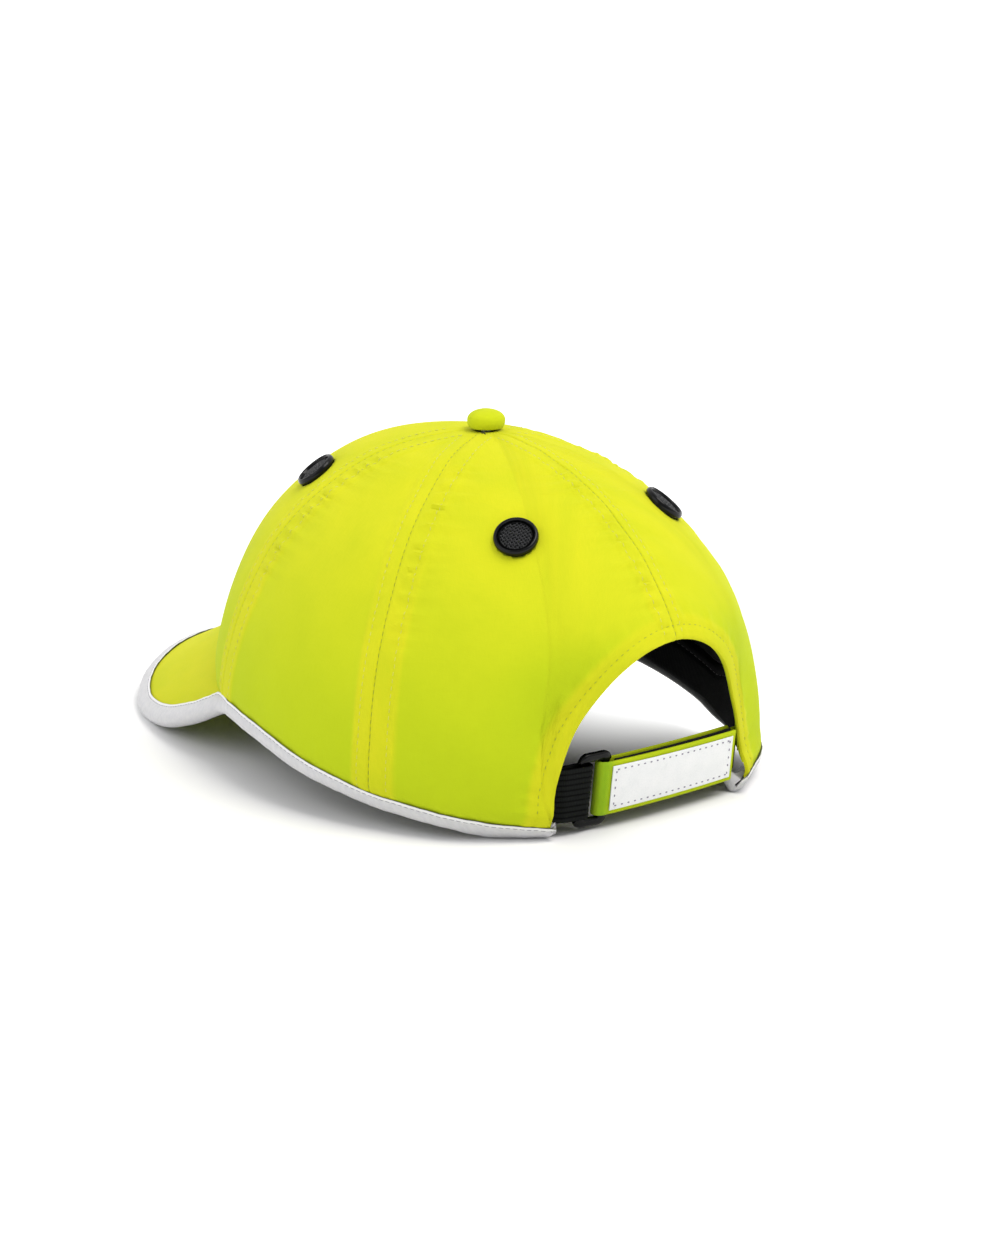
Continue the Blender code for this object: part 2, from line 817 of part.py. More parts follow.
def make_straps():
    bar_x = BUCKLE_X - BAR_SPACING / 2
    centre = (bar_x, strap_y(bar_x))
    radius = FOLD_RADIUS + WEB / 2
    anchored = [(-49.0, 78.4), (-46.5, 80.9)]
    behind = layer_path(-44.0, bar_x - 2.0, -radius, 9)
    fold = arc(centre, radius, -90.0, 84.0, 9)
    ribbon("strap_inner", anchored + behind + fold, WEB, fabric())
    pile_offset = radius - WEB / 2 - SEAM_GAP - PILE / 2
    patch_width = STRAP_WIDTH - 1.6
    ribbon("loop_patch", layer_path(-41.5, bar_x - 5.9, -pile_offset), PILE, webbing(), patch_width)
    tail = layer_path(bar_x - TAIL_START, TAIL_END_X, radius)
    ribbon("strap_tail", tail, WEB, fabric(), STRAP_WIDTH, TAIL_END_WIDTH)
    hook = layer_path(bar_x - 9.9, TAIL_END_X + 2.0, pile_offset)
    ribbon("hook_patch", hook, PILE, webbing(), patch_width, TAIL_END_WIDTH - 1.6)
    patch = layer_path(bar_x - 1.3, TAIL_END_X + 1.8, radius + WEB / 2 + SEAM_GAP + 0.2)
    ribbon("reflective_patch", patch, 0.4, reflective(), 16.2, 15.4)


def make_buckle():
    """A flat loop: two bars for the webs, joined by deep rails that overhang them."""
    made = bmesh.new()
    bar_x = BAR_SPACING / 2 + BAR_RADIUS
    half_x = bar_x + RAIL_OVERHANG
    half_z = BUCKLE_HEIGHT / 2
    slot_x = BAR_SPACING / 2 - BAR_RADIUS
    slot_z = half_z - RAIL_HEIGHT
    corner, inner_corner = 3.4, 0.6
    outer = (half_x, half_z, corner, (bar_x, slot_z))
    inner = (slot_x, slot_z, inner_corner, (slot_x, slot_z - 1.0))
    loops = []
    for width, height, radius, waist in (outer, inner):
        outline = []
        for quarter in range(4):
            sign_x = 1 if quarter in (0, 3) else -1
            sign_z = 1 if quarter in (0, 1) else -1
            for turn in steps(quarter * 90.0, quarter * 90.0 + 90.0, 4):
                angle = math.radians(turn)
                x = sign_x * (width - radius) + radius * math.cos(angle)
                z = sign_z * (height - radius) + radius * math.sin(angle)
                outline.append((x, z))
            if quarter in (1, 3):
                outline.append((sign_x * waist[0], sign_z * waist[1]))
                outline.append((sign_x * waist[0], -sign_z * waist[1]))
        loops.append(outline)
    half_y = BUCKLE_THICKNESS / 2
    front = [[made.verts.new((x, half_y, z)) for x, z in loop] for loop in loops]
    back = [[made.verts.new((x, -half_y, z)) for x, z in loop] for loop in loops]
    count = len(loops[0])
    for i in range(count):
        k = (i + 1) % count
        made.faces.new((front[0][i], front[0][k], front[1][k], front[1][i]))
        made.faces.new((back[0][i], back[1][i], back[1][k], back[0][k]))
        made.faces.new((front[0][i], back[0][i], back[0][k], front[0][k]))
        made.faces.new((front[1][i], front[1][k], back[1][k], back[1][i]))
    lean = math.atan2(strap_y(BUCKLE_X - 4) - strap_y(BUCKLE_X + 4), -8.0) + math.pi
    place = Matrix.Translation((BUCKLE_X, strap_y(BUCKLE_X), STRAP_LEVEL)) @ Matrix.Rotation(lean, 4, "Z")
    bmesh.ops.transform(made, matrix=place, verts=made.verts)
    loop = make_object("buckle", made, buckle_plastic())
    bevel = loop.modifiers.new("rounded", "BEVEL")
    bevel.width = 0.7 * MM
    bevel.segments = 2
    bevel.limit_method = "ANGLE"
    bevel.angle_limit = math.radians(60.0)


def main():
    clear_scene()
    cutters = {name: eyelet_cutter(name) for name in EYELETS}
    make_panels(cutters)
    make_seam_tapes()
    make_button()
    make_opening_facing()
    make_shell(cutters)
    make_pads()
    make_sweatband()
    make_edge_bindings()
    make_peak()
    make_eyelets()
    make_elastic()
    make_straps()
    make_buckle()


main()
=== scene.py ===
"""Looks of the bump cap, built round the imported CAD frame.

Lengths here are millimetres in the crown's own frame, and to_frame turns them into the row frame's metres.
+Z is up, the peak points to -Y, and the wearer's left is +X.
Angles round the crown are degrees from the front (-Y) towards +X.
"""

import math

import bmesh
import bpy
import numpy as np
from mathutils import Matrix, Vector


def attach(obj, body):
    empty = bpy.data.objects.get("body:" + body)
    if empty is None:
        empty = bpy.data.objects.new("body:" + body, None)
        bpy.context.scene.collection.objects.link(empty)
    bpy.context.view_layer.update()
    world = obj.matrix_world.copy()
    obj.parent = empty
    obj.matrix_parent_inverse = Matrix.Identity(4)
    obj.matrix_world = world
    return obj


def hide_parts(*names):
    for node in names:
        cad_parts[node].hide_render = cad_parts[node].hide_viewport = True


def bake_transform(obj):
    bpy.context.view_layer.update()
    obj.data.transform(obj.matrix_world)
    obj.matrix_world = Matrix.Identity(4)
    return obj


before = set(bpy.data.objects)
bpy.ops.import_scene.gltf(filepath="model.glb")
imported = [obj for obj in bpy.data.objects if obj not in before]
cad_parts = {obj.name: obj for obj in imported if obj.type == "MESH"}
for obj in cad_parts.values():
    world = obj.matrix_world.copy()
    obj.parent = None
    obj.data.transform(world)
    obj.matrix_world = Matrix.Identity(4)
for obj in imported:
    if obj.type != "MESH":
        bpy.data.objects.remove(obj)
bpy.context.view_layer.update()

MM = 0.001
CENTRE_SHIFT_Y = 35.55

# Crown, as in the CAD source.
HALF_WIDTH = 88.7
FRONT_REACH = 113.7
REAR_REACH = 110.6
CROWN_RISE = 104.0
WIDEST_LEVEL = 18.1
LOWER_WALL_RADIUS = 35.4
OPENING_HALF_WIDTH = 44.5
OPENING_HEIGHT = 65.6
REAR_CORNER = 148.0
PULL_IN = 0.09
PULL_IN_TOP = 54.0
PULL_IN_DEPTH = 38.0
EDGE_LEVEL = 2.2
EDGE_SLOPE = 18.2
MERIDIAN_LENGTH = 155.0

# Unevenness of the soft cloth, which the CAD's even shape leaves out: the rear corners stand wider
# at their feet, as a share of the crown's width, and the lower edge is lifted or lowered, as
# (lift, angle, width).
FLARE_RIGHT = 0.07
FLARE_LEFT = 0.035
EDGE_SHIFTS = ((-2.0, 63.5, 4.5), (1.45, 83.0, 10.0), (-0.55, 112.0, 6.0))
RIGHT_REAR_LIFT = 1.8

# Panels and seams. Each side of a seam has a stitched margin, wider towards the rear.
FRONT_SEAM = 62.2
SIDE_SEAM = 110.4
REAR_SEAM = 180.0
PANEL_THICKNESS = 1.0
APEX_HOLE_RADIUS = 4.5
COLUMN_SPACING = 1.1
ROW_SPACING = 1.3
STITCH_FRONT = 4.2
STITCH_REAR = 6.0
TOPSTITCH_END = 0.93
SEAM_THREAD_END = 0.95
MARGIN_FRONT = 6.0
MARGIN_REAR = 8.6
HEM_WIDTH = 8.0
HEM_STITCH = 4.6

# Edge binding.
BINDING_WIDTH = 5.0
FOOT_START = 126.0
FOOT_LENGTH = 12.0

# Peak.
PEAK_HALF_WIDTH = 79.7
PEAK_REACH = 125.7
PEAK_CENTRE_Y = -45.7
PEAK_EXPONENT = 2.213
PEAK_ROOT_Y = -113.4
PEAK_ROOT_LEVEL = 20.5
PEAK_SLOPE = 0.4385
PEAK_BEND = 0.00695
PEAK_BEND_GAIN = 0.00085
PEAK_BEND_LENGTH = 74.2
PEAK_CURL = 3.11e-8
PEAK_END = 64.0
PEAK_OUTLINE_END = 88.7
PEAK_SPAN = 0.965
PEAK_COVER = 0.7
PEAK_UNDER_DEPTH = 3.3
PEAK_INSET = 1.6
PEAK_TOTAL = 4.0

# Lining parts, as depths inwards from the outside of the fabric.
TAPE_DEPTH = 1.7
TAPE_THICKNESS = 0.4
TAPE_WIDTH = 9.0
SHELL_DEPTH = 2.6
SHELL_THICKNESS = 2.0
PAD_DEPTH = 5.4
PAD_THICKNESS = 5.0
PAD_EDGE = 6.0
CROWN_PAD_FROM = 0.72
BAND_DEPTH = 6.2
BAND_THICKNESS = 3.0
BAND_END = 138.0
SHELL_SLOTS = (-165.0, -90.0, -20.0, 20.0, 90.0, 165.0)
SLOT_MERIDIAN = 0.6

EYELET_HOLE = 7.2
EYELETS = {
    "rear_left": (143.2, 80.0),
    "rear_right": (-144.6, 81.8),
    "front_left": (45.5, 85.9),
    "front_right": (-45.5, 85.9),
}

# Strap.
STRAP_LEVEL = 14.8
STRAP_WIDTH = 19.6
TAIL_END_WIDTH = 18.8
PATCH_WIDTH = 16.2
PATCH_END_WIDTH = 15.4
PATCH_STITCH_INSET = 1.5
SEWN_NARROWING = 2.8
SEWN_FROM_X = 39.6
SEWN_RAMP = 1.8
STRAP_Y = 87.2
STRAP_BOW = 2.0
WEB = 1.0
FOLD_RADIUS = 2.0
BUCKLE_X = 25.1
BAR_SPACING = 8.4
BAR_RADIUS = 1.0
BUCKLE_HEIGHT = 27.0
BUCKLE_THICKNESS = 2.4
RAIL_HEIGHT = 3.4
RAIL_OVERHANG = 1.7
STRAP_LEAN = 0.13
TAIL_END_X = -39.0
PILE = 1.5
PILE_MARGIN = 1.6

# Camera.
CAMERA_AZIMUTH = 140.43
CAMERA_ELEVATION = 13.0
CAMERA_DISTANCE = 1190.8
CAMERA_TARGET = (0.0, 0.0, 87.0)
CAMERA_LENS = 96.05
CAMERA_SHIFT = (0.0112, -0.0794)

UV_NAME = "cloth"


# ---------------------------------------------------------------- numbers


def smooth(value):
    value = np.clip(value, 0.0, 1.0)
    return value * value * (3.0 - 2.0 * value)


def mix(first, second, amount):
    return first + (second - first) * amount


def bump(value, width):
    return np.exp(-((value / width) ** 2))


def steps(first, last, count):
    return np.linspace(first, last, count + 1)


def full_turn(count):
    """Even angles round a circle, in radians."""
    return 2 * math.pi * np.arange(count) / count


def unit(vectors):
    return vectors / np.maximum(np.linalg.norm(vectors, axis=-1, keepdims=True), 1e-9)


def ripple(value, length, seed=0.0):
    """A wandering wave of about the given length, between -1 and 1."""
    phase = 2 * math.pi * value / length
    wander = 1.3 * np.sin(phase * 0.23 + 2.1 * seed) + 0.9 * np.sin(phase * 0.61 + 4.7 * seed)
    return np.sin(phase + wander + seed)


def ripple2(across, along, length, seed=0.0):
    """A soft two-way unevenness of about the given length, between about -1 and 1."""
    first = np.sin(2 * math.pi * (across + 0.35 * along) / length + 1.7 * seed)
    second = np.sin(2 * math.pi * (along - 0.28 * across) / (1.27 * length) + 3.1 * seed + 0.4)
    third = np.sin(2 * math.pi * (across * 0.8 + along * 0.9) / (0.71 * length) + 5.3 * seed)
    return (first + second + 0.6 * third * first) / 2.6


# ---------------------------------------------------------------- crown surface


def rise_power(theta):
    return 2.11 + 0.19 * np.cos(2 * np.radians(theta))


def plan_power(theta):
    angle = np.radians(theta)
    return 2.10 + 0.18 * np.cos(angle) + 0.09 * np.cos(2 * angle)


def level_to_meridian(theta, level):
    """0 at the widest level, 1 at the apex and negative below the widest level."""
    lift = np.clip(level / CROWN_RISE, 0.0, 1.0) ** (rise_power(theta) / 2)
    return np.where(level <= 0, level / CROWN_RISE, np.arcsin(lift) / (math.pi / 2))


def meridian_to_level(theta, meridian):
    climb = np.sin(np.clip(meridian, 0.0, 1.0) * math.pi / 2) ** (2 / rise_power(theta))
    return np.where(meridian <= 0, meridian * CROWN_RISE, CROWN_RISE * climb)


def spread(theta, meridian):
    drop = meridian * CROWN_RISE / LOWER_WALL_RADIUS
    below = np.sqrt(np.maximum(1.0 - drop * drop, 0.05))
    above = np.maximum(np.cos(np.clip(meridian, 0.0, 1.0) * math.pi / 2), 0.0) ** (2 / plan_power(theta))
    return np.where(meridian <= 0, below, above)


def pull_in(theta, level):
    sideways = smooth((np.abs(theta) - 128.0) / 22.0)
    below_top = smooth((PULL_IN_TOP - level) / PULL_IN_DEPTH)
    above_edge = smooth((level + 16.0) / 16.0)
    return 1.0 - PULL_IN * sideways * below_top * above_edge


def flare(theta, level):
    """The soft rear corners stand a little wider at their feet, the right one more."""
    turn = np.where(theta > 180, theta - 360, theta)
    right = FLARE_RIGHT * smooth((-turn - 104.0) / 20.0) * (1.0 - 0.6 * smooth((-turn - 130.0) / 16.0))
    left = FLARE_LEFT * bump(turn - 127.0, 14.0)
    return 1.0 + (right + left) * smooth(-level / 17.0)


def crown_surface(theta, meridian):
    theta, meridian = np.broadcast_arrays(np.asarray(theta, float), np.asarray(meridian, float))
    angle = np.radians(theta)
    level = meridian_to_level(theta, meridian)
    share = spread(theta, meridian) * flare(theta, level)
    reach = np.where(np.cos(angle) > 0, FRONT_REACH, REAR_REACH)
    folded = np.where(np.abs(theta) <= 180, theta, 360 - np.abs(theta))
    x = HALF_WIDTH * np.sin(angle) * share
    y = -reach * np.cos(angle) * share * pull_in(folded, level)
    return np.stack((x, y, level + WIDEST_LEVEL), axis=-1)


def crown_normal(theta, meridian):
    along = crown_surface(theta + 0.1, meridian) - crown_surface(theta - 0.1, meridian)
    up = crown_surface(theta, meridian + 0.0005) - crown_surface(theta, meridian - 0.0005)
    normal = unit(np.cross(along, up))
    level = np.broadcast_to(np.asarray(meridian, float), normal.shape[:-1])
    normal[level > 0.999] = (0.0, 0.0, 1.0)
    return normal


def crown_point(theta, meridian, lift=0.0):
    """A point outwards of the fabric's outer face by the given lift."""
    lift = np.asarray(lift, float)
    return crown_surface(theta, meridian) + lift[..., None] * crown_normal(theta, meridian)


def plan_radius(theta, meridian):
    return np.linalg.norm(crown_surface(theta, meridian)[..., :2], axis=-1)


def rear_angle(x, level):
    theta = np.full(np.shape(x), 180.0)
    for _ in range(6):
        share = spread(theta, level_to_meridian(theta, level))
        theta = 180.0 - np.degrees(np.arcsin(np.minimum(np.abs(x) / (HALF_WIDTH * share), 1.0)))
    return np.where(np.asarray(x) < 0, -theta, theta)


def peak_top(x, y):
    forward = -(y - PEAK_ROOT_Y) / PEAK_BEND_LENGTH
    bend = PEAK_BEND + PEAK_BEND_GAIN * forward
    level = PEAK_ROOT_LEVEL + PEAK_SLOPE * (y - PEAK_ROOT_Y) - bend * x * x - PEAK_CURL * x**4
    return level + WIDEST_LEVEL


def crown_edge(theta):
    """Level of the crown's lower edge."""
    theta = np.asarray(theta, float)
    angle = np.radians(theta)
    share = spread(theta, 0.13)
    root = peak_top(HALF_WIDTH * share * np.sin(angle), -FRONT_REACH * share * np.cos(angle))
    on_peak = root - WIDEST_LEVEL + 0.4
    free = EDGE_LEVEL + EDGE_SLOPE * np.cos(angle)
    edge = mix(on_peak, free, smooth((np.abs(theta) - 57.0) / 12.0))
    turn = np.abs(theta)
    for lift, centre, width in EDGE_SHIFTS:
        edge = edge + lift * bump(turn - centre, width)
    return edge + RIGHT_REAR_LIFT * smooth((-theta - 118.0) / 20.0)


def opening_point(turn, grow=0.0):
    """(x, level) on the rear opening's outline; turn is 0 at the floor and 90 at its top."""
    angle = np.radians(turn)
    x = (OPENING_HALF_WIDTH + grow) * np.cos(angle)
    return x, (OPENING_HEIGHT + grow) * np.sin(angle) - WIDEST_LEVEL


def opening_distance(x, level):
    """Roughly how far outside the rear opening's outline a point is."""
    height = level + WIDEST_LEVEL
    rho = np.sqrt((x / OPENING_HALF_WIDTH) ** 2 + (height / OPENING_HEIGHT) ** 2)
    slope = np.sqrt(x**2 / OPENING_HALF_WIDTH**4 + height**2 / OPENING_HEIGHT**4)
    return (rho - 1.0) * rho / np.maximum(slope, 1e-6)


def apex_meridian(theta):
    low, high = np.full(np.shape(theta), 0.8), np.full(np.shape(theta), 1.0)
    for _ in range(30):
        middle = (low + high) / 2
        outside = plan_radius(theta, middle) > APEX_HOLE_RADIUS
        low, high = np.where(outside, middle, low), np.where(outside, high, middle)
    return low


def eyelet_frame(name):
    """A 4x4 matrix whose Z is the crown's normal at the eyelet."""
    theta, level = EYELETS[name]
    meridian = level_to_meridian(theta, level)
    return facing(crown_point(theta, meridian), crown_normal(theta, meridian))


def facing(origin, normal):
    normal = Vector(normal)
    side = Vector((0.0, 0.0, 1.0)).cross(normal).normalized()
    turn = Matrix((side, normal.cross(side), normal)).transposed().to_4x4()
    return Matrix.Translation(Vector(origin)) @ turn


# ---------------------------------------------------------------- mesh building


class Skin:
    """Collects grids of points with their UVs, and becomes one closed mesh."""

    def __init__(self):
        self.points, self.faces, self.uvs, self.marks = [], [], [], []
        self.count = 0

    def place(self, points, marks=None):
        flat = np.asarray(points, float).reshape(-1, 3)
        index = np.arange(self.count, self.count + len(flat)).reshape(np.shape(points)[:-1])
        self.points.append(flat)
        values = np.zeros(len(flat)) if marks is None else np.broadcast_to(marks, index.shape).reshape(-1)
        self.marks.append(values)
        self.count += len(flat)
        return index

    def quads(self, index, uv):
        """Faces over a grid of point numbers, with a grid of UVs of the same size."""
        corners = [index[:-1, :-1], index[:-1, 1:], index[1:, 1:], index[1:, :-1]]
        uv_corners = [uv[:-1, :-1], uv[:-1, 1:], uv[1:, 1:], uv[1:, :-1]]
        self.faces.append(np.stack(corners, -1).reshape(-1, 4))
        self.uvs.append(np.stack(uv_corners, -2).reshape(-1, 4, 2))

    def grid(self, points, wrap=False, marks=None):
        index = self.place(points, marks)
        shown, spots = index, np.asarray(points, float)
        if wrap:
            shown = np.concatenate((index, index[:, :1]), axis=1)
            spots = np.concatenate((spots, spots[:, :1]), axis=1)
        self.quads(shown, cloth_uv(spots))
        return index

    def strip(self, first, second):
        """Joins two equal loops or rows of point numbers."""
        uv = np.zeros((2, len(first), 2))
        uv[..., 0] = np.arange(len(first)) * 0.1
        uv[1, :, 1] = 0.1
        self.quads(np.stack((first, second)), uv)

    def cap(self, ring):
        """Closes a ring of point numbers with a fan round its middle."""
        points = np.concatenate(self.points)[ring]
        middle = self.place(points.mean(axis=0)[None])[0]
        around = np.roll(ring, -1)
        fan = np.stack((ring, around, np.full(len(ring), middle), np.full(len(ring), middle)), -1)
        self.faces.append(fan)
        self.uvs.append(np.zeros((len(ring), 4, 2)))

    def build(self, name, paint, sharp=48.0):
        points = np.concatenate(self.points)
        faces = np.concatenate(self.faces)
        uvs = np.concatenate(self.uvs)
        marks = np.concatenate(self.marks)
        mesh = bpy.data.meshes.new(name)
        mesh.vertices.add(len(points))
        mesh.vertices.foreach_set("co", to_frame(points).reshape(-1))
        triangle = faces[:, 2] == faces[:, 3]
        sizes = np.where(triangle, 3, 4)
        keep = np.ones(faces.shape, bool)
        keep[triangle, 3] = False
        mesh.loops.add(int(sizes.sum()))
        mesh.loops.foreach_set("vertex_index", faces[keep].astype(np.int32))
        mesh.polygons.add(len(faces))
        starts = np.concatenate(([0], np.cumsum(sizes)[:-1]))
        mesh.polygons.foreach_set("loop_start", starts.astype(np.int32))
        mesh.update(calc_edges=True)
        layer = mesh.uv_layers.new(name=UV_NAME)
        layer.data.foreach_set("uv", uvs[keep].reshape(-1))
        tint = mesh.attributes.new("layers_and_painted_light", "FLOAT", "POINT")
        tint.data.foreach_set("value", marks.astype(np.float32))
        made = bpy.data.objects.new(name, mesh)
        bpy.context.collection.objects.link(made)
        mesh.materials.append(paint)
        clean(mesh, sharp)
        return made


def to_frame(points):
    return (np.asarray(points, float) + (0.0, CENTRE_SHIFT_Y, 0.0)) * MM


def clean(mesh, sharp):
    """Merges points that meet, drops empty faces, turns all normals outwards and shades smooth."""
    work = bmesh.new()
    work.from_mesh(mesh)
    bmesh.ops.remove_doubles(work, verts=work.verts, dist=2e-6)
    bmesh.ops.dissolve_degenerate(work, edges=work.edges, dist=1e-7)
    bmesh.ops.recalc_face_normals(work, faces=work.faces)
    work.to_mesh(mesh)
    work.free()
    mesh.shade_smooth()
    mesh.set_sharp_from_angle(angle=math.radians(sharp))


def cloth_uv(points):
    """UVs in centimetres: across from the middle of each row, and up along the columns."""
    across = np.linalg.norm(np.diff(points, axis=1), axis=-1)
    u = np.concatenate((np.zeros((len(points), 1)), np.cumsum(across, axis=1)), axis=1)
    u = u - u[:, -1:] / 2
    along = np.linalg.norm(np.diff(points, axis=0), axis=-1)
    v = np.concatenate((np.zeros((1, points.shape[1])), np.cumsum(along, axis=0)), axis=0)
    return np.stack((u, v), axis=-1) * 0.1


def sheet(name, outer, inner, paint, wrap=False, marks=None, rim=0.35, sharp=48.0):
    """A closed cloth or board between two equal grids, with a rounded rim."""
    skin = Skin()
    top = skin.grid(outer, wrap, marks)
    low = skin.grid(inner, wrap, marks)
    if wrap:
        edges = [(0, 1), (-1, -2)]
        for row, inside in edges:
            middle = (outer[row] + inner[row]) / 2
            thickness = np.linalg.norm(outer[row] - inner[row], axis=-1, keepdims=True)
            middle = middle + unit(outer[row] - outer[inside] + 1e-9) * thickness * rim
            mark = None if marks is None else np.broadcast_to(marks, outer.shape[:-1])[row]
            around = skin.place(middle, mark)
            close = [np.append(ring, ring[0]) for ring in (top[row], around, low[row])]
            skin.strip(close[0], close[1])
            skin.strip(close[1], close[2])
        return skin.build(name, paint, sharp)
    loop_top, loop_low = border(top), border(low)
    here, below = border(outer), border(inner)
    away = unit(here - border_inside(outer) + 1e-9)
    thickness = np.linalg.norm(here - below, axis=-1, keepdims=True)
    mark = None if marks is None else border(np.broadcast_to(marks, outer.shape[:-1]))
    around = skin.place((here + below) / 2 + away * thickness * rim, mark)
    loops = [np.append(ring, ring[0]) for ring in (loop_top, around, loop_low)]
    skin.strip(loops[0], loops[1])
    skin.strip(loops[1], loops[2])
    return skin.build(name, paint, sharp)


def border(grid):
    """The outermost loop of a grid, in order and without repeats."""
    return np.concatenate((grid[0, :-1], grid[:-1, -1], grid[-1, :0:-1], grid[:0:-1, 0]))


def border_inside(grid):
    """For each point of the border, its neighbour one step inside."""
    inside = np.empty_like(grid)
    inside[:] = grid
    inside[0, :] = grid[1, :]
    inside[-1, :] = grid[-2, :]
    inside[1:-1, 0] = grid[1:-1, 1]
    inside[1:-1, -1] = grid[1:-1, -2]
    for row, column, row_in, column_in in ((0, 0, 1, 1), (0, -1, 1, -2), (-1, 0, -2, 1), (-1, -1, -2, -2)):
        inside[row, column] = grid[row_in, column_in]
    return border(inside)


def sweep(name, rings, paint, marks=None, sharp=50.0, closed=False, open_section=False):
    """A solid through equal rings of points, as an array of (rings, points, 3)."""
    skin = Skin()
    if closed:
        rings = np.concatenate((rings, rings[:1]), axis=0)
    index = skin.grid(rings, wrap=True, marks=marks)
    if not closed and not open_section:
        skin.cap(index[0])
        skin.cap(index[-1])
    made = skin.build(name, paint, sharp)
    if open_section:
        close_ends(made.data)
    return made


def close_ends(mesh):
    """Closes a sweep whose section isn't convex, with one flat face at each end."""
    work = bmesh.new()
    work.from_mesh(mesh)
    rims = [edge for edge in work.edges if edge.is_boundary]
    filled = bmesh.ops.holes_fill(work, edges=rims, sides=0)["faces"]
    bmesh.ops.triangulate(work, faces=filled)
    bmesh.ops.recalc_face_normals(work, faces=work.faces)
    work.to_mesh(mesh)
    work.free()


def turned(name, profile, paint, place, segments=64, sharp=40.0):
    """A closed turned solid; the profile runs round its section as (radius, height)."""
    turn = full_turn(segments)
    profile = np.asarray(profile, float)
    rings = np.stack(
        (
            np.cos(turn)[:, None] * profile[:, 0],
            np.sin(turn)[:, None] * profile[:, 0],
            np.ones(segments)[:, None] * profile[:, 1],
        ),
        axis=-1,
    )
    skin = Skin()
    rings = carried(rings, place)
    skin.grid(np.concatenate((rings, rings[:1]), axis=0), wrap=True)
    return skin.build(name, paint, sharp)


def carried(points, place):
    turn = np.array(place.to_3x3())
    return np.asarray(points, float) @ turn.T + np.array(place.translation)


def carve(made, cutters):
    """Cuts closed shapes out of a mesh and keeps the result."""
    for cutter in cutters:
        boolean = made.modifiers.new("carve", "BOOLEAN")
        boolean.operation = "DIFFERENCE"
        boolean.solver = "EXACT"
        boolean.object = cutter
    graph = bpy.context.evaluated_depsgraph_get()
    result = bpy.data.meshes.new_from_object(made.evaluated_get(graph))
    made.modifiers.clear()
    made.data = result
    for cutter in cutters:
        bpy.data.objects.remove(cutter)


def finish_piece(made, body, slot, *nodes):
    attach(made, body)
    if nodes:
        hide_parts(*nodes)
    return made


def stitch_mesh(name, lines, paint, pitch=2.5, length=1.75, radius=0.15, rise=0.07):
    """Rows of separate thread stitches that dip into the cloth at both ends.

    Each line is (points, normals) with its points close together.
    """
    skin = Skin()
    share = np.array([0.0, 0.2, 0.5, 0.8, 1.0])
    height = np.array([-0.16, rise * 0.8, rise, rise * 0.8, -0.16])
    girth = np.array([0.5, 0.92, 1.0, 0.92, 0.5])
    turn = full_turn(6)
    for points, normals in lines:
        reach = np.concatenate(([0.0], np.cumsum(np.linalg.norm(np.diff(points, axis=0), axis=-1))))
        count = int((reach[-1] - length) // pitch) + 1
        if count < 1:
            continue
        begin = (reach[-1] - (count - 1) * pitch - length) / 2 + pitch * np.arange(count)
        at = begin[:, None] + length * share[None, :]
        spots = np.stack([np.interp(at, reach, points[:, k]) for k in range(3)], axis=-1)
        up = unit(np.stack([np.interp(at, reach, normals[:, k]) for k in range(3)], axis=-1))
        along = unit(spots[:, -1:] - spots[:, :1]) * np.ones((1, len(share), 1))
        side = unit(np.cross(along, up))
        middle = spots + up * height[None, :, None]
        reach_out = radius * girth[None, :, None, None]
        ring = side[:, :, None, :] * np.cos(turn)[None, None, :, None]
        ring = ring + up[:, :, None, :] * np.sin(turn)[None, None, :, None]
        rings = middle[:, :, None, :] + ring * reach_out
        for one in rings:
            index = skin.grid(one, wrap=True)
            for end in (index[0], index[-1]):
                skin.faces.append(end[np.array([(0, 1, 2, 3), (3, 4, 5, 0)])])
                skin.uvs.append(np.zeros((2, 4, 2)))
    return skin.build(name, paint, 60.0)


# ---------------------------------------------------------------- materials


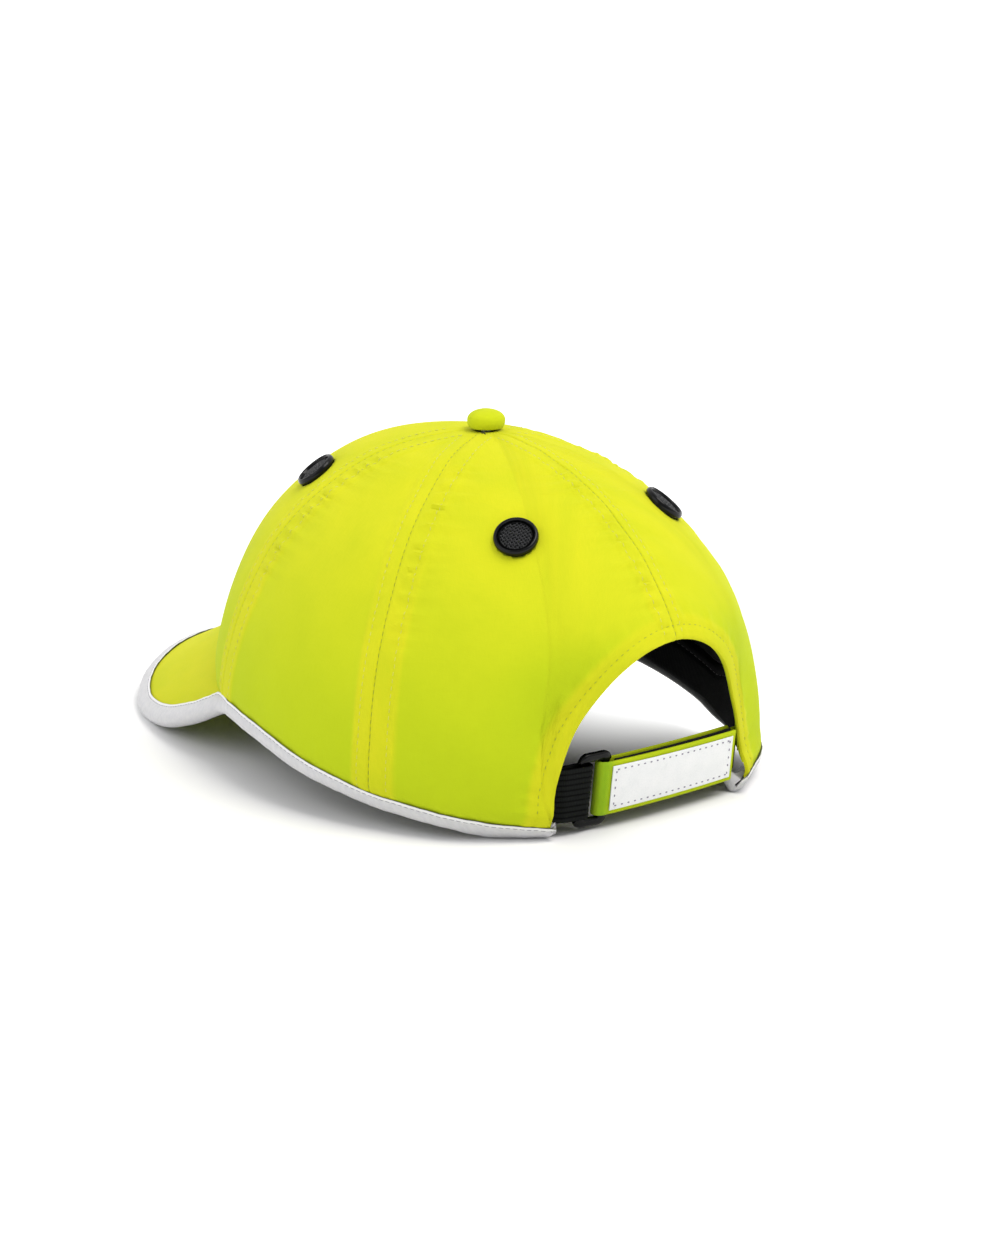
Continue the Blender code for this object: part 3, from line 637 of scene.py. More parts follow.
class Nodes:
    """A short way to wire a material's nodes round its Principled shader."""

    def __init__(self, name, roughness, **values):
        self.material = bpy.data.materials.new(name)
        self.material.use_nodes = True
        self.tree = self.material.node_tree
        self.shader = self.tree.nodes["Principled BSDF"]
        self.shader.inputs["Roughness"].default_value = roughness
        for key, value in values.items():
            self.shader.inputs[key.replace("_", " ")].default_value = value

    def add(self, kind, *links, **settings):
        """Adds a node; links are (socket name or number, value or output socket)."""
        node = self.tree.nodes.new("ShaderNode" + kind)
        for key, value in settings.items():
            setattr(node, key, value)
        for socket, value in links:
            self.put(node.inputs[socket], value)
        return node

    def put(self, socket, value):
        """Links an output to the socket, or sets the socket's own value."""
        if isinstance(value, bpy.types.NodeSocket):
            self.tree.links.new(value, socket)
        else:
            socket.default_value = value

    def math(self, operation, first, second=0.0):
        return self.add("Math", (0, first), (1, second), operation=operation).outputs[0]

    def blend(self, amount, first, second, blend_type="MIX"):
        node = self.add("Mix", data_type="RGBA", blend_type=blend_type)
        for number, value in ((0, amount), (6, first), (7, second)):
            self.put(node.inputs[number], value)
        return node.outputs[2]

    def cloth(self, scale=(1.0, 1.0, 1.0), turn=0.0):
        """UV coordinates in centimetres."""
        uv = self.add("UVMap", uv_map=UV_NAME).outputs[0]
        return self.add("Mapping", ("Vector", uv), ("Scale", scale), ("Rotation", (0, 0, turn))).outputs[0]

    def place(self):
        return self.add("TexCoord").outputs["Object"]

    def noise(self, vector, scale, detail=2.0, roughness=0.5):
        links = (("Vector", vector), ("Scale", scale), ("Detail", detail), ("Roughness", roughness))
        return self.add("TexNoise", *links).outputs[0]

    def wave(self, vector, pitch, direction, distortion=0.0):
        """Bands with the given pitch in the units of the vector."""
        scale = 2 * math.pi / (20.0 * pitch)
        links = (("Vector", vector), ("Scale", scale), ("Distortion", distortion))
        node = self.add("TexWave", *links, bands_direction=direction)
        return node.outputs["Fac"]

    def span(self, value, low, high, out_low=0.0, out_high=1.0):
        links = ((0, value), (1, low), (2, high), (3, out_low), (4, out_high))
        return self.add("MapRange", *links).outputs[0]

    def colour(self, value):
        self.put(self.shader.inputs["Base Color"], value)

    def rough(self, value):
        self.tree.links.new(value, self.shader.inputs["Roughness"])

    def relief(self, height, strength, distance):
        links = (("Height", height), ("Strength", strength), ("Distance", distance))
        made = self.add("Bump", *links)
        self.tree.links.new(made.outputs[0], self.shader.inputs["Normal"])


def rgb(red, green, blue):
    """A linear colour from 0-255 display values."""

    def linear(value):
        share = value / 255.0
        return share / 12.92 if share <= 0.04045 else ((share + 0.055) / 1.055) ** 2.4

    return (linear(red), linear(green), linear(blue), 1.0)


def scaled(colour, share):
    """The colour made paler or darker, with its alpha kept at 1."""
    return tuple(channel * share for channel in colour[:3]) + (1.0,)


def plain_weave(nodes, pitch, turn=0.0):
    """Height of a plain weave, 0 to 1, with a slightly uneven thread."""
    uv = nodes.cloth(turn=turn)
    warp = nodes.wave(uv, pitch, "X")
    weft = nodes.wave(uv, pitch, "Y")
    both = nodes.math("MULTIPLY", warp, weft)
    neither = nodes.math("MULTIPLY", nodes.math("SUBTRACT", 1.0, warp), nodes.math("SUBTRACT", 1.0, weft))
    return nodes.math("ADD", both, neither)


def woven(name, colour, layered_and_painted_light_tone, roughness=0.8, pitch=0.055, depth=0.00006, sheen=0.02, spread_share=0.05):
    """Polyester cloth: weave, uneven threads, broad tone changes, and a second tone where the cloth is
    doubled. The second tone also carries painted light: a painted top light on upward-facing crown cloth, and
    painted shade on the strap past its fold.
    """
    nodes = Nodes(name, roughness, Sheen_Weight=sheen, Sheen_Roughness=0.5, Specular_IOR_Level=0.08)
    weave = plain_weave(nodes, pitch)
    streaks = nodes.noise(nodes.cloth((14.0, 1.2, 1.0)), 2.2, 3.0)
    cross = nodes.noise(nodes.cloth((1.2, 14.0, 1.0)), 2.2, 3.0)
    broad = nodes.noise(nodes.cloth(), 0.35, 2.0)
    layers_and_painted_light = nodes.add("Attribute", attribute_name="layers_and_painted_light").outputs["Fac"]
    base = nodes.blend(layers_and_painted_light, colour, layered_and_painted_light_tone)
    dark = scaled(colour, 1.0 - 2.4 * spread_share)
    uneven = nodes.math("ADD", nodes.math("MULTIPLY", streaks, 0.5), nodes.math("MULTIPLY", cross, 0.5))
    uneven = nodes.span(uneven, 0.35, 0.7)
    tone = nodes.math("MULTIPLY", nodes.span(broad, 0.35, 0.65), 0.5)
    amount = nodes.math("MULTIPLY", nodes.math("ADD", nodes.math("MULTIPLY", uneven, 0.5), tone), 0.55)
    body = nodes.blend(amount, base, dark)
    threads = nodes.blend(nodes.span(weave, 0.0, 1.0, 0.1, 0.0), body, dark)
    nodes.colour(threads)
    nodes.rough(nodes.span(streaks, 0.3, 0.7, roughness - 0.06, roughness + 0.08))
    height = nodes.math("ADD", weave, nodes.math("MULTIPLY", uneven, 0.8))
    nodes.relief(height, 0.6, depth)
    return nodes.material


def thread_paint(name, colour):
    """Twisted thread: fine slanted bands along each stitch."""
    nodes = Nodes(name, 0.55, Sheen_Weight=0.1, Specular_IOR_Level=0.4)
    twist = nodes.wave(nodes.cloth(turn=0.6), 0.03, "X")
    dark = scaled(colour, 0.72)
    nodes.colour(nodes.blend(twist, dark, colour))
    nodes.relief(twist, 0.5, 0.00004)
    return nodes.material


def moulded(name, colour, roughness, grain=900.0, depth=0.00002, mottle=0.25, level=0.5):
    """Moulded plastic with a fine grain, handling marks in its gloss, and slightly paler scuffs."""
    nodes = Nodes(name, roughness, Specular_IOR_Level=level)
    place = nodes.place()
    fine = nodes.noise(place, grain, 3.0)
    marks = nodes.noise(place, 55.0, 4.0, 0.6)
    pale = tuple(min(channel * 1.9 + 0.006, 1.0) for channel in colour[:3]) + (1.0,)
    nodes.colour(nodes.blend(nodes.span(marks, 0.45, 0.8, 0.0, mottle), colour, pale))
    nodes.rough(nodes.span(marks, 0.3, 0.7, roughness - 0.08, roughness + 0.1))
    nodes.relief(fine, 0.5, depth)
    return nodes.material


def glass_bead_tape():
    """Reflective binding tape: a satin grey film of tiny beads over a fine woven backing.

    Marks above 1 give a dark line along its lip, painted shade where the groove between cloth and tape is
    shaded, and above 2 the black lining that laps over its inner leg.
    """
    nodes = Nodes("reflective_tape", 0.42, Specular_IOR_Level=0.4)
    uv = nodes.cloth()
    beads = nodes.noise(uv, 60.0, 2.0)
    soft = nodes.noise(uv, 5.0, 3.0)
    weave = plain_weave(nodes, 0.045)
    layers_and_painted_light = nodes.add("Attribute", attribute_name="layers_and_painted_light").outputs["Fac"]
    grey = nodes.blend(nodes.span(soft, 0.3, 0.7), rgb(198, 198, 201), rgb(211, 210, 211))
    grain = nodes.blend(nodes.span(beads, 0.35, 0.65, 0.0, 0.35), grey, rgb(178, 178, 184))
    strip = nodes.blend(nodes.math("MINIMUM", layers_and_painted_light, 1.0), grain, rgb(230, 230, 230))
    # Painted shade: the rows next to the cloth make a dark line, where the groove between cloth and tape is
    # shaded.
    lip = nodes.math("MAXIMUM", nodes.math("SUBTRACT", layers_and_painted_light, 1.0), 0.0)
    with_painted_shade_line = nodes.blend(nodes.math("MINIMUM", lip, 1.0), strip, rgb(84, 88, 62))
    lined = nodes.math("MAXIMUM", nodes.math("SUBTRACT", layers_and_painted_light, 2.0), 0.0)
    nodes.colour(nodes.blend(lined, with_painted_shade_line, rgb(10, 11, 12)))
    nodes.rough(nodes.span(beads, 0.3, 0.7, 0.36, 0.55))
    nodes.relief(nodes.math("ADD", nodes.math("MULTIPLY", beads, 0.7), weave), 0.4, 0.00004)
    return nodes.material


def patch_film():
    """The white reflective patch: a smooth film with a faint honeycomb of cells."""
    nodes = Nodes("reflective_patch_film", 0.38, Specular_IOR_Level=0.5)
    uv = nodes.cloth()
    cells = nodes.add("TexVoronoi", ("Vector", uv), ("Scale", 9.0), feature="DISTANCE_TO_EDGE").outputs[0]
    soft = nodes.noise(uv, 1.6, 3.0)
    edge = nodes.span(cells, 0.0, 0.06, 0.16, 0.0)
    tone = nodes.blend(nodes.span(soft, 0.35, 0.65), rgb(230, 232, 232), rgb(235, 236, 236))
    nodes.colour(nodes.blend(edge, tone, rgb(190, 193, 197)))
    nodes.rough(nodes.span(soft, 0.3, 0.7, 0.33, 0.47))
    nodes.relief(cells, 0.3, 0.00005)
    return nodes.material


def knitted_elastic():
    """Black elastic: fine upright ticks of the covering yarn between its lengthwise ribs, with painted shade
    darkening the valleys between the ribs to near black.
    """
    nodes = Nodes("elastic", 0.66, Specular_IOR_Level=0.03)
    uv = nodes.cloth()
    ticks = nodes.wave(uv, 0.06, "Y", 0.6)
    fuzz = nodes.noise(uv, 30.0, 3.0)
    ribs = nodes.add("Attribute", attribute_name="layers_and_painted_light").outputs["Fac"]
    lit_ticks, lit_fuzz = nodes.span(ticks, 0.0, 1.0, 0.6, 1.0), nodes.span(fuzz, 0.3, 0.7, 0.6, 1.0)
    shade = nodes.math("MULTIPLY", lit_ticks, lit_fuzz)
    # Painted shade: the rib marks darken the valleys between the ribs to near black.
    nodes.colour(nodes.blend(nodes.math("MULTIPLY", shade, ribs), rgb(2, 2, 2), rgb(33, 35, 34)))
    nodes.rough(nodes.span(fuzz, 0.3, 0.7, 0.58, 0.75))
    nodes.relief(nodes.math("ADD", ticks, fuzz), 0.6, 0.00007)
    return nodes.material


def pile(name, colour):
    """Hook-and-loop face: a dense uneven fuzz."""
    nodes = Nodes(name, 0.85, Sheen_Weight=0.05, Specular_IOR_Level=0.1)
    uv = nodes.cloth()
    tufts = nodes.add("TexVoronoi", ("Vector", uv), ("Scale", 11.0)).outputs["Distance"]
    fuzz = nodes.noise(uv, 40.0, 4.0)
    pale = scaled(colour, 3.2)
    nodes.colour(nodes.blend(nodes.math("MULTIPLY", tufts, fuzz), colour, pale))
    nodes.rough(nodes.span(fuzz, 0.3, 0.7, 0.78, 0.95))
    nodes.relief(nodes.math("ADD", nodes.math("SUBTRACT", 1.0, tufts), fuzz), 0.9, 0.0003)
    return nodes.material


def pad_cover(name, colour):
    """Brushed tricot over foam, with fine lengthwise wales."""
    nodes = Nodes(name, 0.82, Sheen_Weight=0.01, Specular_IOR_Level=0.03)
    uv = nodes.cloth()
    wales = nodes.wave(uv, 0.09, "X", 0.4)
    fuzz = nodes.noise(uv, 16.0, 4.0)
    pale = scaled(colour, 2.0)
    nodes.colour(nodes.blend(nodes.math("MULTIPLY", wales, fuzz), colour, pale))
    nodes.rough(nodes.span(fuzz, 0.3, 0.7, 0.74, 0.92))
    nodes.relief(nodes.math("ADD", wales, nodes.math("MULTIPLY", fuzz, 0.7)), 0.6, 0.00012)
    return nodes.material


def brushed_metal():
    nodes = Nodes("rivet_metal", 0.35, Metallic=1.0)
    lines = nodes.noise(nodes.place(), 700.0, 2.0)
    nodes.colour(nodes.blend(lines, (0.42, 0.42, 0.43, 1.0), (0.62, 0.62, 0.6, 1.0)))
    nodes.rough(nodes.span(lines, 0.3, 0.7, 0.28, 0.45))
    return nodes.material


# The second yellow is the tone of doubled cloth, and also a painted top light: upward-facing crown cloth is
# tinted towards it.
YELLOW = (0.475, 0.585, 0.010, 1.0)
YELLOW_LAYERED_AND_TOP_LIGHT = (0.640, 0.625, 0.014, 1.0)

PAINTS = {
    "fabric": woven("crown_cloth", YELLOW, YELLOW_LAYERED_AND_TOP_LIGHT),
    "peak": woven("peak_cloth", (0.500, 0.610, 0.009, 1.0), YELLOW_LAYERED_AND_TOP_LIGHT),
    "under": woven("peak_under_cloth", YELLOW, YELLOW),
    # The strap's second tone is painted shade: a darker green where the web comes off its fold round the bar.
    "strap": woven("strap_cloth", YELLOW, rgb(112, 168, 36), pitch=0.07, depth=0.0001),
    "lining": woven("tape_twill", rgb(10, 11, 12), rgb(10, 11, 12), 0.8, 0.09, 0.00012),
    "thread": thread_paint("yellow_thread", (0.66, 0.68, 0.10, 1.0)),
    # The thread in the seam grooves and round the opening is painted in shade, darker than the other yellow
    # stitching.
    "shaded_thread": thread_paint("shadow_thread", (0.30, 0.37, 0.012, 1.0)),
    "thread_grey": thread_paint("grey_thread", rgb(138, 134, 150)),
    "thread_black": thread_paint("black_thread", rgb(24, 26, 25)),
    "tape": glass_bead_tape(),
    "patch": patch_film(),
    "elastic": knitted_elastic(),
    "hook": pile("hook_face", rgb(14, 15, 15)),
    "loop": pile("loop_face", rgb(20, 21, 21)),
    "pad": pad_cover("pad_tricot", rgb(9, 10, 11)),
    "band": pad_cover("headband_terry", rgb(7, 8, 9)),
    "shell": moulded("shell_plastic", rgb(11, 12, 13), 0.42, level=0.15),
    "vent": moulded("vent_plastic", rgb(6, 7, 8), 0.2, 1400.0, 0.00001, mottle=0.08, level=0.2),
    "mesh": moulded("vent_mesh", rgb(34, 35, 37), 0.35, 1400.0, 0.00001, mottle=0.08, level=0.3),
    "buckle": moulded("buckle_plastic", rgb(5, 6, 6), 0.14, 700.0, 0.000006, mottle=0.08, level=0.2),
    "board": moulded("board_plastic", rgb(222, 222, 216), 0.6, 300.0, 0.00005),
    "metal": brushed_metal(),
}


# ---------------------------------------------------------------- crown cloth


def seam_relief(offset, along, seed):
    """(lift, margin share) beside a seam; offset is the distance from it, positive on its wide side."""
    reach = np.abs(offset)
    wide = offset > 0
    margin = np.where(wide, MARGIN_REAR, MARGIN_FRONT)
    stitch = np.where(wide, STITCH_REAR, STITCH_FRONT)
    band = 1.0 - smooth((reach - margin + 0.8) / 1.8)
    lift = -0.20 * bump(reach - stitch, 0.6) - 0.32 * bump(reach, 0.45)
    middle = smooth((along - 30.0) / 25.0) * (1.0 - smooth((along - 108.0) / 25.0))
    beyond = np.maximum(reach - stitch, 0.0)
    fade = np.where(wide, np.exp(-beyond / 7.0), 0.35 * np.exp(-beyond / 4.0))
    lift = lift + 0.56 * ripple(along, 5.2, seed) * middle * fade * smooth((reach - 1.0) / 3.0)
    lift = lift + 0.07 * ripple(along, 2.9, seed + 0.7) * bump(reach - stitch, 1.8)
    return lift, band


def cloth_relief(theta, meridian):
    """(lift, tone mark) of the crown's cloth at every given point. The tone mark is the share of doubled
    cloth at the seams and hem, raised by a painted top light where the cloth faces upwards.
    """
    point = crown_surface(theta, meridian)
    x, level = point[..., 0], point[..., 2] - WIDEST_LEVEL
    radius = np.linalg.norm(point[..., :2], axis=-1)
    along = meridian * MERIDIAN_LENGTH
    lift = np.zeros(radius.shape)
    band = np.zeros(radius.shape)
    side_seed = np.where(theta > 0, 0.0, 1.9)
    for seam, seed in ((FRONT_SEAM, 0.6), (SIDE_SEAM, 2.2)):
        offset = np.radians(np.abs(theta) - seam) * radius
        more, share = seam_relief(offset, along, seed + side_seed)
        lift, band = lift + more, np.maximum(band, share)
    offset = np.radians(180.0 - np.abs(theta)) * radius * np.where(theta > 0, 1.0, -1.0)
    more, share = seam_relief(offset, along, 3.7)
    lift, band = lift + more * np.where(np.abs(theta) > 90, 1.0, 0.0), np.maximum(band, share)
    away = opening_distance(x, level)
    away = np.where(np.abs(theta) > 100.0, away, 99.0)
    hem = 1.0 - smooth((away - HEM_WIDTH + 1.4) / 2.4)
    turn = np.arctan2(level + WIDEST_LEVEL, np.abs(x) + 1e-6)
    round_edge = turn * 62.0
    hem_wave = 0.24 * ripple(round_edge, 6.2, 1.3) * bump(away - HEM_WIDTH, 3.0)
    lift = lift + hem_wave - 0.28 * bump(away - HEM_STITCH, 0.6) - 0.35 * (1.0 - smooth(away / 1.0))
    lift = lift + 0.09 * ripple(round_edge, 3.1, 0.2) * bump(away - HEM_STITCH, 1.8)
    above = level - crown_edge(theta)
    near_edge = 1.0 - smooth((np.abs(theta) - 130.0) / 17.0)
    puff = smooth((above + 0.6) / 4.5) * (1.0 - smooth((above - 6.0) / 14.0))
    around = np.radians(theta) * radius
    gathers = ripple(around, 9.0, 0.9) * np.exp(-np.maximum(above, 0.0) / 9.0)
    lift = lift + near_edge * (0.35 * puff + 0.10 * gathers - 0.15 * (1 - smooth((above + 0.4) / 1.5)))
    lift = lift + 0.38 * ripple2(around, along, 46.0, 0.7) * smooth((above - 4.0) / 16.0)
    layers_and_painted_light = np.maximum(band, hem)
    lift = lift + 0.32 * layers_and_painted_light
    calm = smooth((radius - APEX_HOLE_RADIUS) / 6.0)
    # Painted top light: cloth facing upwards is tinted towards the second, yellower tone, as if brighter
    # where the light falls.
    painted_top_light = smooth(crown_normal(theta, meridian)[..., 2] / 0.85)
    return lift * calm, 1.0 - (1.0 - layers_and_painted_light) * (1.0 - painted_top_light)


SEAM_OFFSETS = (0.1, 0.3, 0.6, 1.0, 1.6, 2.3, 3.0, 3.6, 4.2, 4.8, 5.4, 6.0, 6.7, 7.5, 8.3, 9.2)


def seam_columns(start, end):
    """Angles from one seam to the next: close together beside the seams, even between them."""
    way = 1.0 if end > start else -1.0
    radius = float(plan_radius(np.array((start + end) / 2), 0.1))
    offsets = np.degrees(np.array(SEAM_OFFSETS) / radius)
    first, last = start + way * offsets, end - way * offsets[::-1]
    gap = abs(last[0] - first[-1])
    count = max(2, round(math.radians(gap) * radius / COLUMN_SPACING))
    return np.concatenate((first, np.linspace(first[-1], last[0], count + 1)[1:-1], last))


def hem_depth(theta):
    on_tape = smooth((np.abs(theta) - 58.0) / 6.0) * (1.0 - smooth((np.abs(theta) - 138.0) / 9.0))
    return 1.2 + (BINDING_WIDTH - 2.7) * on_tape


def lowest_meridians(theta):
    return level_to_meridian(theta, crown_edge(theta) - hem_depth(theta))


def panel(name, columns, lowest, cutters, *nodes):
    """One cloth panel from its lowest meridians up to the apex."""
    highest = apex_meridian(columns)
    count = int(MERIDIAN_LENGTH * float(np.mean(highest - lowest)) / ROW_SPACING)
    share = steps(0.0, 1.0, count)[:, None]
    meridian = mix(lowest[None, :], highest[None, :], share)
    theta = np.broadcast_to(columns[None, :], meridian.shape)
    lift, layers_and_painted_light = cloth_relief(theta, meridian)
    outer = crown_point(theta, meridian, lift)
    inner = crown_point(theta, meridian, np.full(meridian.shape, -PANEL_THICKNESS))
    made = sheet(name, outer, inner, PAINTS["fabric"], marks=layers_and_painted_light, rim=0.3)
    if cutters:
        carve(made, cutters)
    return finish_piece(made, "root", "crown_fabric", *nodes)


def vent_cutter(name):
    profile = [(0.0, 8.0), (EYELET_HOLE, 8.0), (EYELET_HOLE, -9.0), (0.0, -9.0)]
    return turned("cutter_" + name, profile, PAINTS["vent"], eyelet_frame(name), 48)


def rear_columns(side):
    """(angles, lowest meridians) of a rear panel: to the corner, then along the opening's edge."""
    radius = float(plan_radius(np.array(130.0), 0.1))
    offsets = np.degrees(np.array(SEAM_OFFSETS) / radius)
    near = SIDE_SEAM + offsets
    count = round(math.radians(REAR_CORNER - near[-1]) * radius / COLUMN_SPACING)
    before = np.concatenate((near, np.linspace(near[-1], REAR_CORNER, count + 1)[1:]))
    low_before = level_to_meridian(before, crown_edge(side * before) - hem_depth(before))
    first = math.degrees(math.asin(float(crown_edge(side * REAR_CORNER) + WIDEST_LEVEL) / OPENING_HEIGHT))
    last = np.degrees(np.arccos(np.array(SEAM_OFFSETS[::-1]) / OPENING_HALF_WIDTH))
    dense = steps(first, last[0] - 1.0, 600)
    turns = []
    reached = REAR_CORNER
    for turn, angle in zip(dense, rear_angle(*opening_point(dense))):
        if angle - reached >= math.degrees(COLUMN_SPACING / radius):
            turns.append(turn)
            reached = angle
    turns = np.concatenate((turns, last))
    x, level = opening_point(turns)
    after = rear_angle(x, level)
    return np.concatenate((before, after)), np.concatenate((low_before, level_to_meridian(after, level)))


def make_crown_cloth():
    columns = seam_columns(-FRONT_SEAM, FRONT_SEAM)
    cutters = [vent_cutter("front_left"), vent_cutter("front_right")]
    panel("cloth_front", columns, lowest_meridians(columns), cutters, "front_panel")
    for side, word in ((1.0, "left"), (-1.0, "right")):
        columns = side * seam_columns(FRONT_SEAM, SIDE_SEAM)
        panel("cloth_side_" + word, columns, lowest_meridians(columns), [], "side_panel_" + word)
        columns, lowest = rear_columns(side)
        cutters = [vent_cutter("rear_" + word)]
        panel("cloth_rear_" + word, side * columns, lowest, cutters, "rear_panel_" + word)


def seam_line(seam, offset, low, high, count=240):
    """Points and normals on the cloth along a seam, at a distance from it."""
    meridian = steps(low, high, count)
    side = math.copysign(1.0, seam)
    radius = plan_radius(np.full(meridian.shape, seam), meridian)
    theta = seam + side * np.degrees(offset / radius)
    lift, _ = cloth_relief(theta, meridian)
    return crown_point(theta, meridian, lift), crown_normal(theta, meridian)


def stitch_seam(word, low, *rows):
    """A seam's two rows of topstitching, as (seam, offset), and the thread in its groove."""
    lines = [seam_line(seam, offset, low, TOPSTITCH_END) for seam, offset in rows]
    finish_piece(stitch_mesh("stitches_" + word, lines, PAINTS["thread"]), "root", "crown_fabric")
    line = [seam_line(rows[0][0], 0.0, low, SEAM_THREAD_END)]
    made = stitch_mesh("seam_thread_" + word, line, PAINTS["shaded_thread"], 2.5, 1.6, 0.12, 0.0)
    finish_piece(made, "root", "crown_fabric")


def make_seam_stitching():
    for word, seam in (("front", FRONT_SEAM), ("side", SIDE_SEAM)):
        for side, hand in ((1.0, "left"), (-1.0, "right")):
            low = float(level_to_meridian(seam, crown_edge(seam) + 0.8))
            stitch_seam(f"{word}_{hand}", low, (side * seam, -STITCH_FRONT), (side * seam, STITCH_REAR))
    low = float(level_to_meridian(REAR_SEAM, opening_point(90.0)[1] + 1.0))
    stitch_seam("rear", low, (REAR_SEAM, -STITCH_REAR), (-REAR_SEAM, -STITCH_FRONT))


def opening_line(grow, first=8.0, count=300):
    """Points and normals on the cloth round the rear opening."""
    x, level = opening_point(steps(first, 180.0 - first, count), grow)
    theta = rear_angle(x, level)
    meridian = level_to_meridian(theta, level)
    lift, _ = cloth_relief(theta, meridian)
    return crown_point(theta, meridian, lift), crown_normal(theta, meridian)


def make_opening_hem():
    line = opening_line(HEM_STITCH)
    made = stitch_mesh("stitches_opening", [line], PAINTS["shaded_thread"], 2.6, 1.5, 0.13, 0.03)
    finish_piece(made, "root", "crown_fabric")
    first = math.degrees(math.asin(float(crown_edge(REAR_CORNER) + WIDEST_LEVEL) / OPENING_HEIGHT)) + 6.0

    def grid(depth, curl):
        rows = []
        for grow in steps(0.3, 9.3, 10):
            x, level = opening_point(steps(first, 180.0 - first, 150), grow)
            theta = rear_angle(x, level)
            roll = depth - curl * (1.0 - smooth(grow / 2.5))
            rows.append(crown_point(theta, level_to_meridian(theta, level), np.full(theta.shape, -roll)))
        return np.array(rows)

    made = sheet("opening_facing_cloth", grid(1.2, 0.1), grid(1.65, 0.1), PAINTS["under"], marks=1.0)
    finish_piece(made, "root", "crown_fabric", "opening_facing")


BUTTON_RADIUS = 6.8
BUTTON_WAIST = 3.5
BUTTON_SKIRT = 2.7
BUTTON_DOME = 4.0


def make_button():
    """A cloth-covered dome, widest at mid height, with the cloth gathered under its rim."""
    turn = full_turn(96)
    climb = steps(-1.0, 1.0, 36)
    above = np.clip(climb, 0, 1)
    lower = BUTTON_RADIUS - np.abs(climb) ** 2.4
    radius = np.where(climb < 0, lower, BUTTON_RADIUS * (1 - above**2.5) ** 0.5)
    height = BUTTON_WAIST + np.where(climb < 0, BUTTON_SKIRT * climb, BUTTON_DOME * above**1.15)
    gathers = 1.0 + 0.012 * np.sin(21 * turn)[:, None] * (climb < 0.2)[None, :] * (0.2 - climb)[None, :]
    soft = 1.0 + 0.01 * np.sin(3 * turn + 0.6)[:, None] * np.ones(len(climb))[None, :]
    reach = radius[None, :] * gathers * soft
    round_x, round_y = np.cos(turn)[:, None] * reach, np.sin(turn)[:, None] * reach
    rings = np.stack((round_x, round_y, np.broadcast_to(height, reach.shape)), -1)
    underside = np.stack([rings[:, 0] * (share, share, 1.0) + (0, 0, 0.5) for share in (0.86, 0.4)], axis=1)
    middle = np.zeros((96, 1, 3)) + (0, 0, 1.5)
    rings = np.concatenate((middle, underside[:, ::-1], rings), axis=1) + crown_point(0.0, 1.0)
    skin = Skin()
    skin.grid(np.concatenate((rings, rings[:1]), axis=0), marks=0.45)
    finish_piece(skin.build("button_cover", PAINTS["fabric"]), "root", "crown_fabric", "crown_button")
    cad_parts["button_shank"].data.materials[0] = PAINTS["metal"]
    path = np.array([(4.6, 3.3, -0.3), (4.9, 3.7, 0.2), (5.0, 4.3, 0.3), (4.7, 4.9, -0.1), (4.8, 5.5, -0.35)])
    share = steps(0.0, 1.0, 14)
    spots = np.stack([np.interp(share, steps(0.0, 1.0, 4), path[:, k]) for k in range(3)], -1)
    rings = round_rings(spots + crown_point(0.0, 1.0), np.linspace(0.28, 0.16, len(share)), 8)
    finish_piece(sweep("thread_end", rings, PAINTS["thread_black"]), "root", "crown_fabric")


def round_rings(path, radius, sides=10):
    """Round rings along a path of points."""
    along = unit(np.gradient(path, axis=0))
    level = np.broadcast_to((0.0, 0.0, 1.0), along.shape)
    side = np.cross(along, level)
    weak = np.linalg.norm(side, axis=-1, keepdims=True) < 0.05
    side = unit(np.where(weak, np.cross(along, (1.0, 0.0, 0.0)), side))
    up = np.cross(side, along)
    turn = full_turn(sides)
    radius = np.broadcast_to(radius, (len(path),))[:, None, None]
    ring = side[:, None] * np.cos(turn)[None, :, None] + up[:, None] * np.sin(turn)[None, :, None]
    return path[:, None] + ring * radius


# ---------------------------------------------------------------- edge binding

# Outer half of the tape's U section as (across, up): a flat strip, the stitched crease, the full band.
TAPE_SECTION = (
    (0.30, 0.25),
    (0.66, 0.34),
    (0.76, 0.18),
    (0.90, -0.16),
    (0.88, -0.50),
    (0.68, -0.80),
    (1.00, -1.20),
    (1.20, -2.30),
    (1.22, -3.60),
    (1.02, -4.70),
    (0.50, -5.30),
)
TAPE_BEND = 5
COVERED = 3
COVERED_TO = 145.5
SHADE_LINE_ROWS = 2
CREASE = 5
TAPE_REACH = 5.4
PEAK_TAPE_REACH = 6.2
PEAK_STAND = 0.35
BINDING_STEP = 1.2
TIP_ANGLE = 149.3
TIP_LENGTH = 5.5
TIP_SWELL = 2.3
JOIN_FROM = 66.0
JOIN_TO = 63.5
JOIN_TURN = 86.8
JOIN_TURN_END = 85.3


def tape_section(thickness, reach, swell=0.0, droop=0.0, belly=0.12):
    """The whole U section as (across, up), starting at the outer lip's free edge.

    Droop lowers the inner leg's free edge, as a share of the leg. Belly is how far the bend bulges.
    """
    outer = np.array(TAPE_SECTION)
    lower = outer[:, 1] < -1.0
    outer[lower, 1] = outer[lower, 1] * reach / TAPE_REACH
    inner = np.stack((-thickness - outer[:, 0] - swell, outer[:, 1]), -1)[::-1]
    inner[:, 1] = mix(inner[:, 1], outer[-1, 1], droop)
    turn = np.radians(steps(0.0, 180.0, TAPE_BEND + 1)[1:-1])
    middle = (outer[-1, 0] + inner[0, 0]) / 2
    edge = outer[-1]
    bottom = np.stack((middle + (edge[0] - middle) * np.cos(turn), edge[1] - belly * np.sin(turn)), -1)
    floor = -reach + 1.4
    lip = (-thickness - 0.15, mix(0.2, floor, droop))
    inside = np.array([lip, (-thickness - 0.12, floor), (0.12, floor)])
    return np.concatenate((outer, bottom, inner, inside))


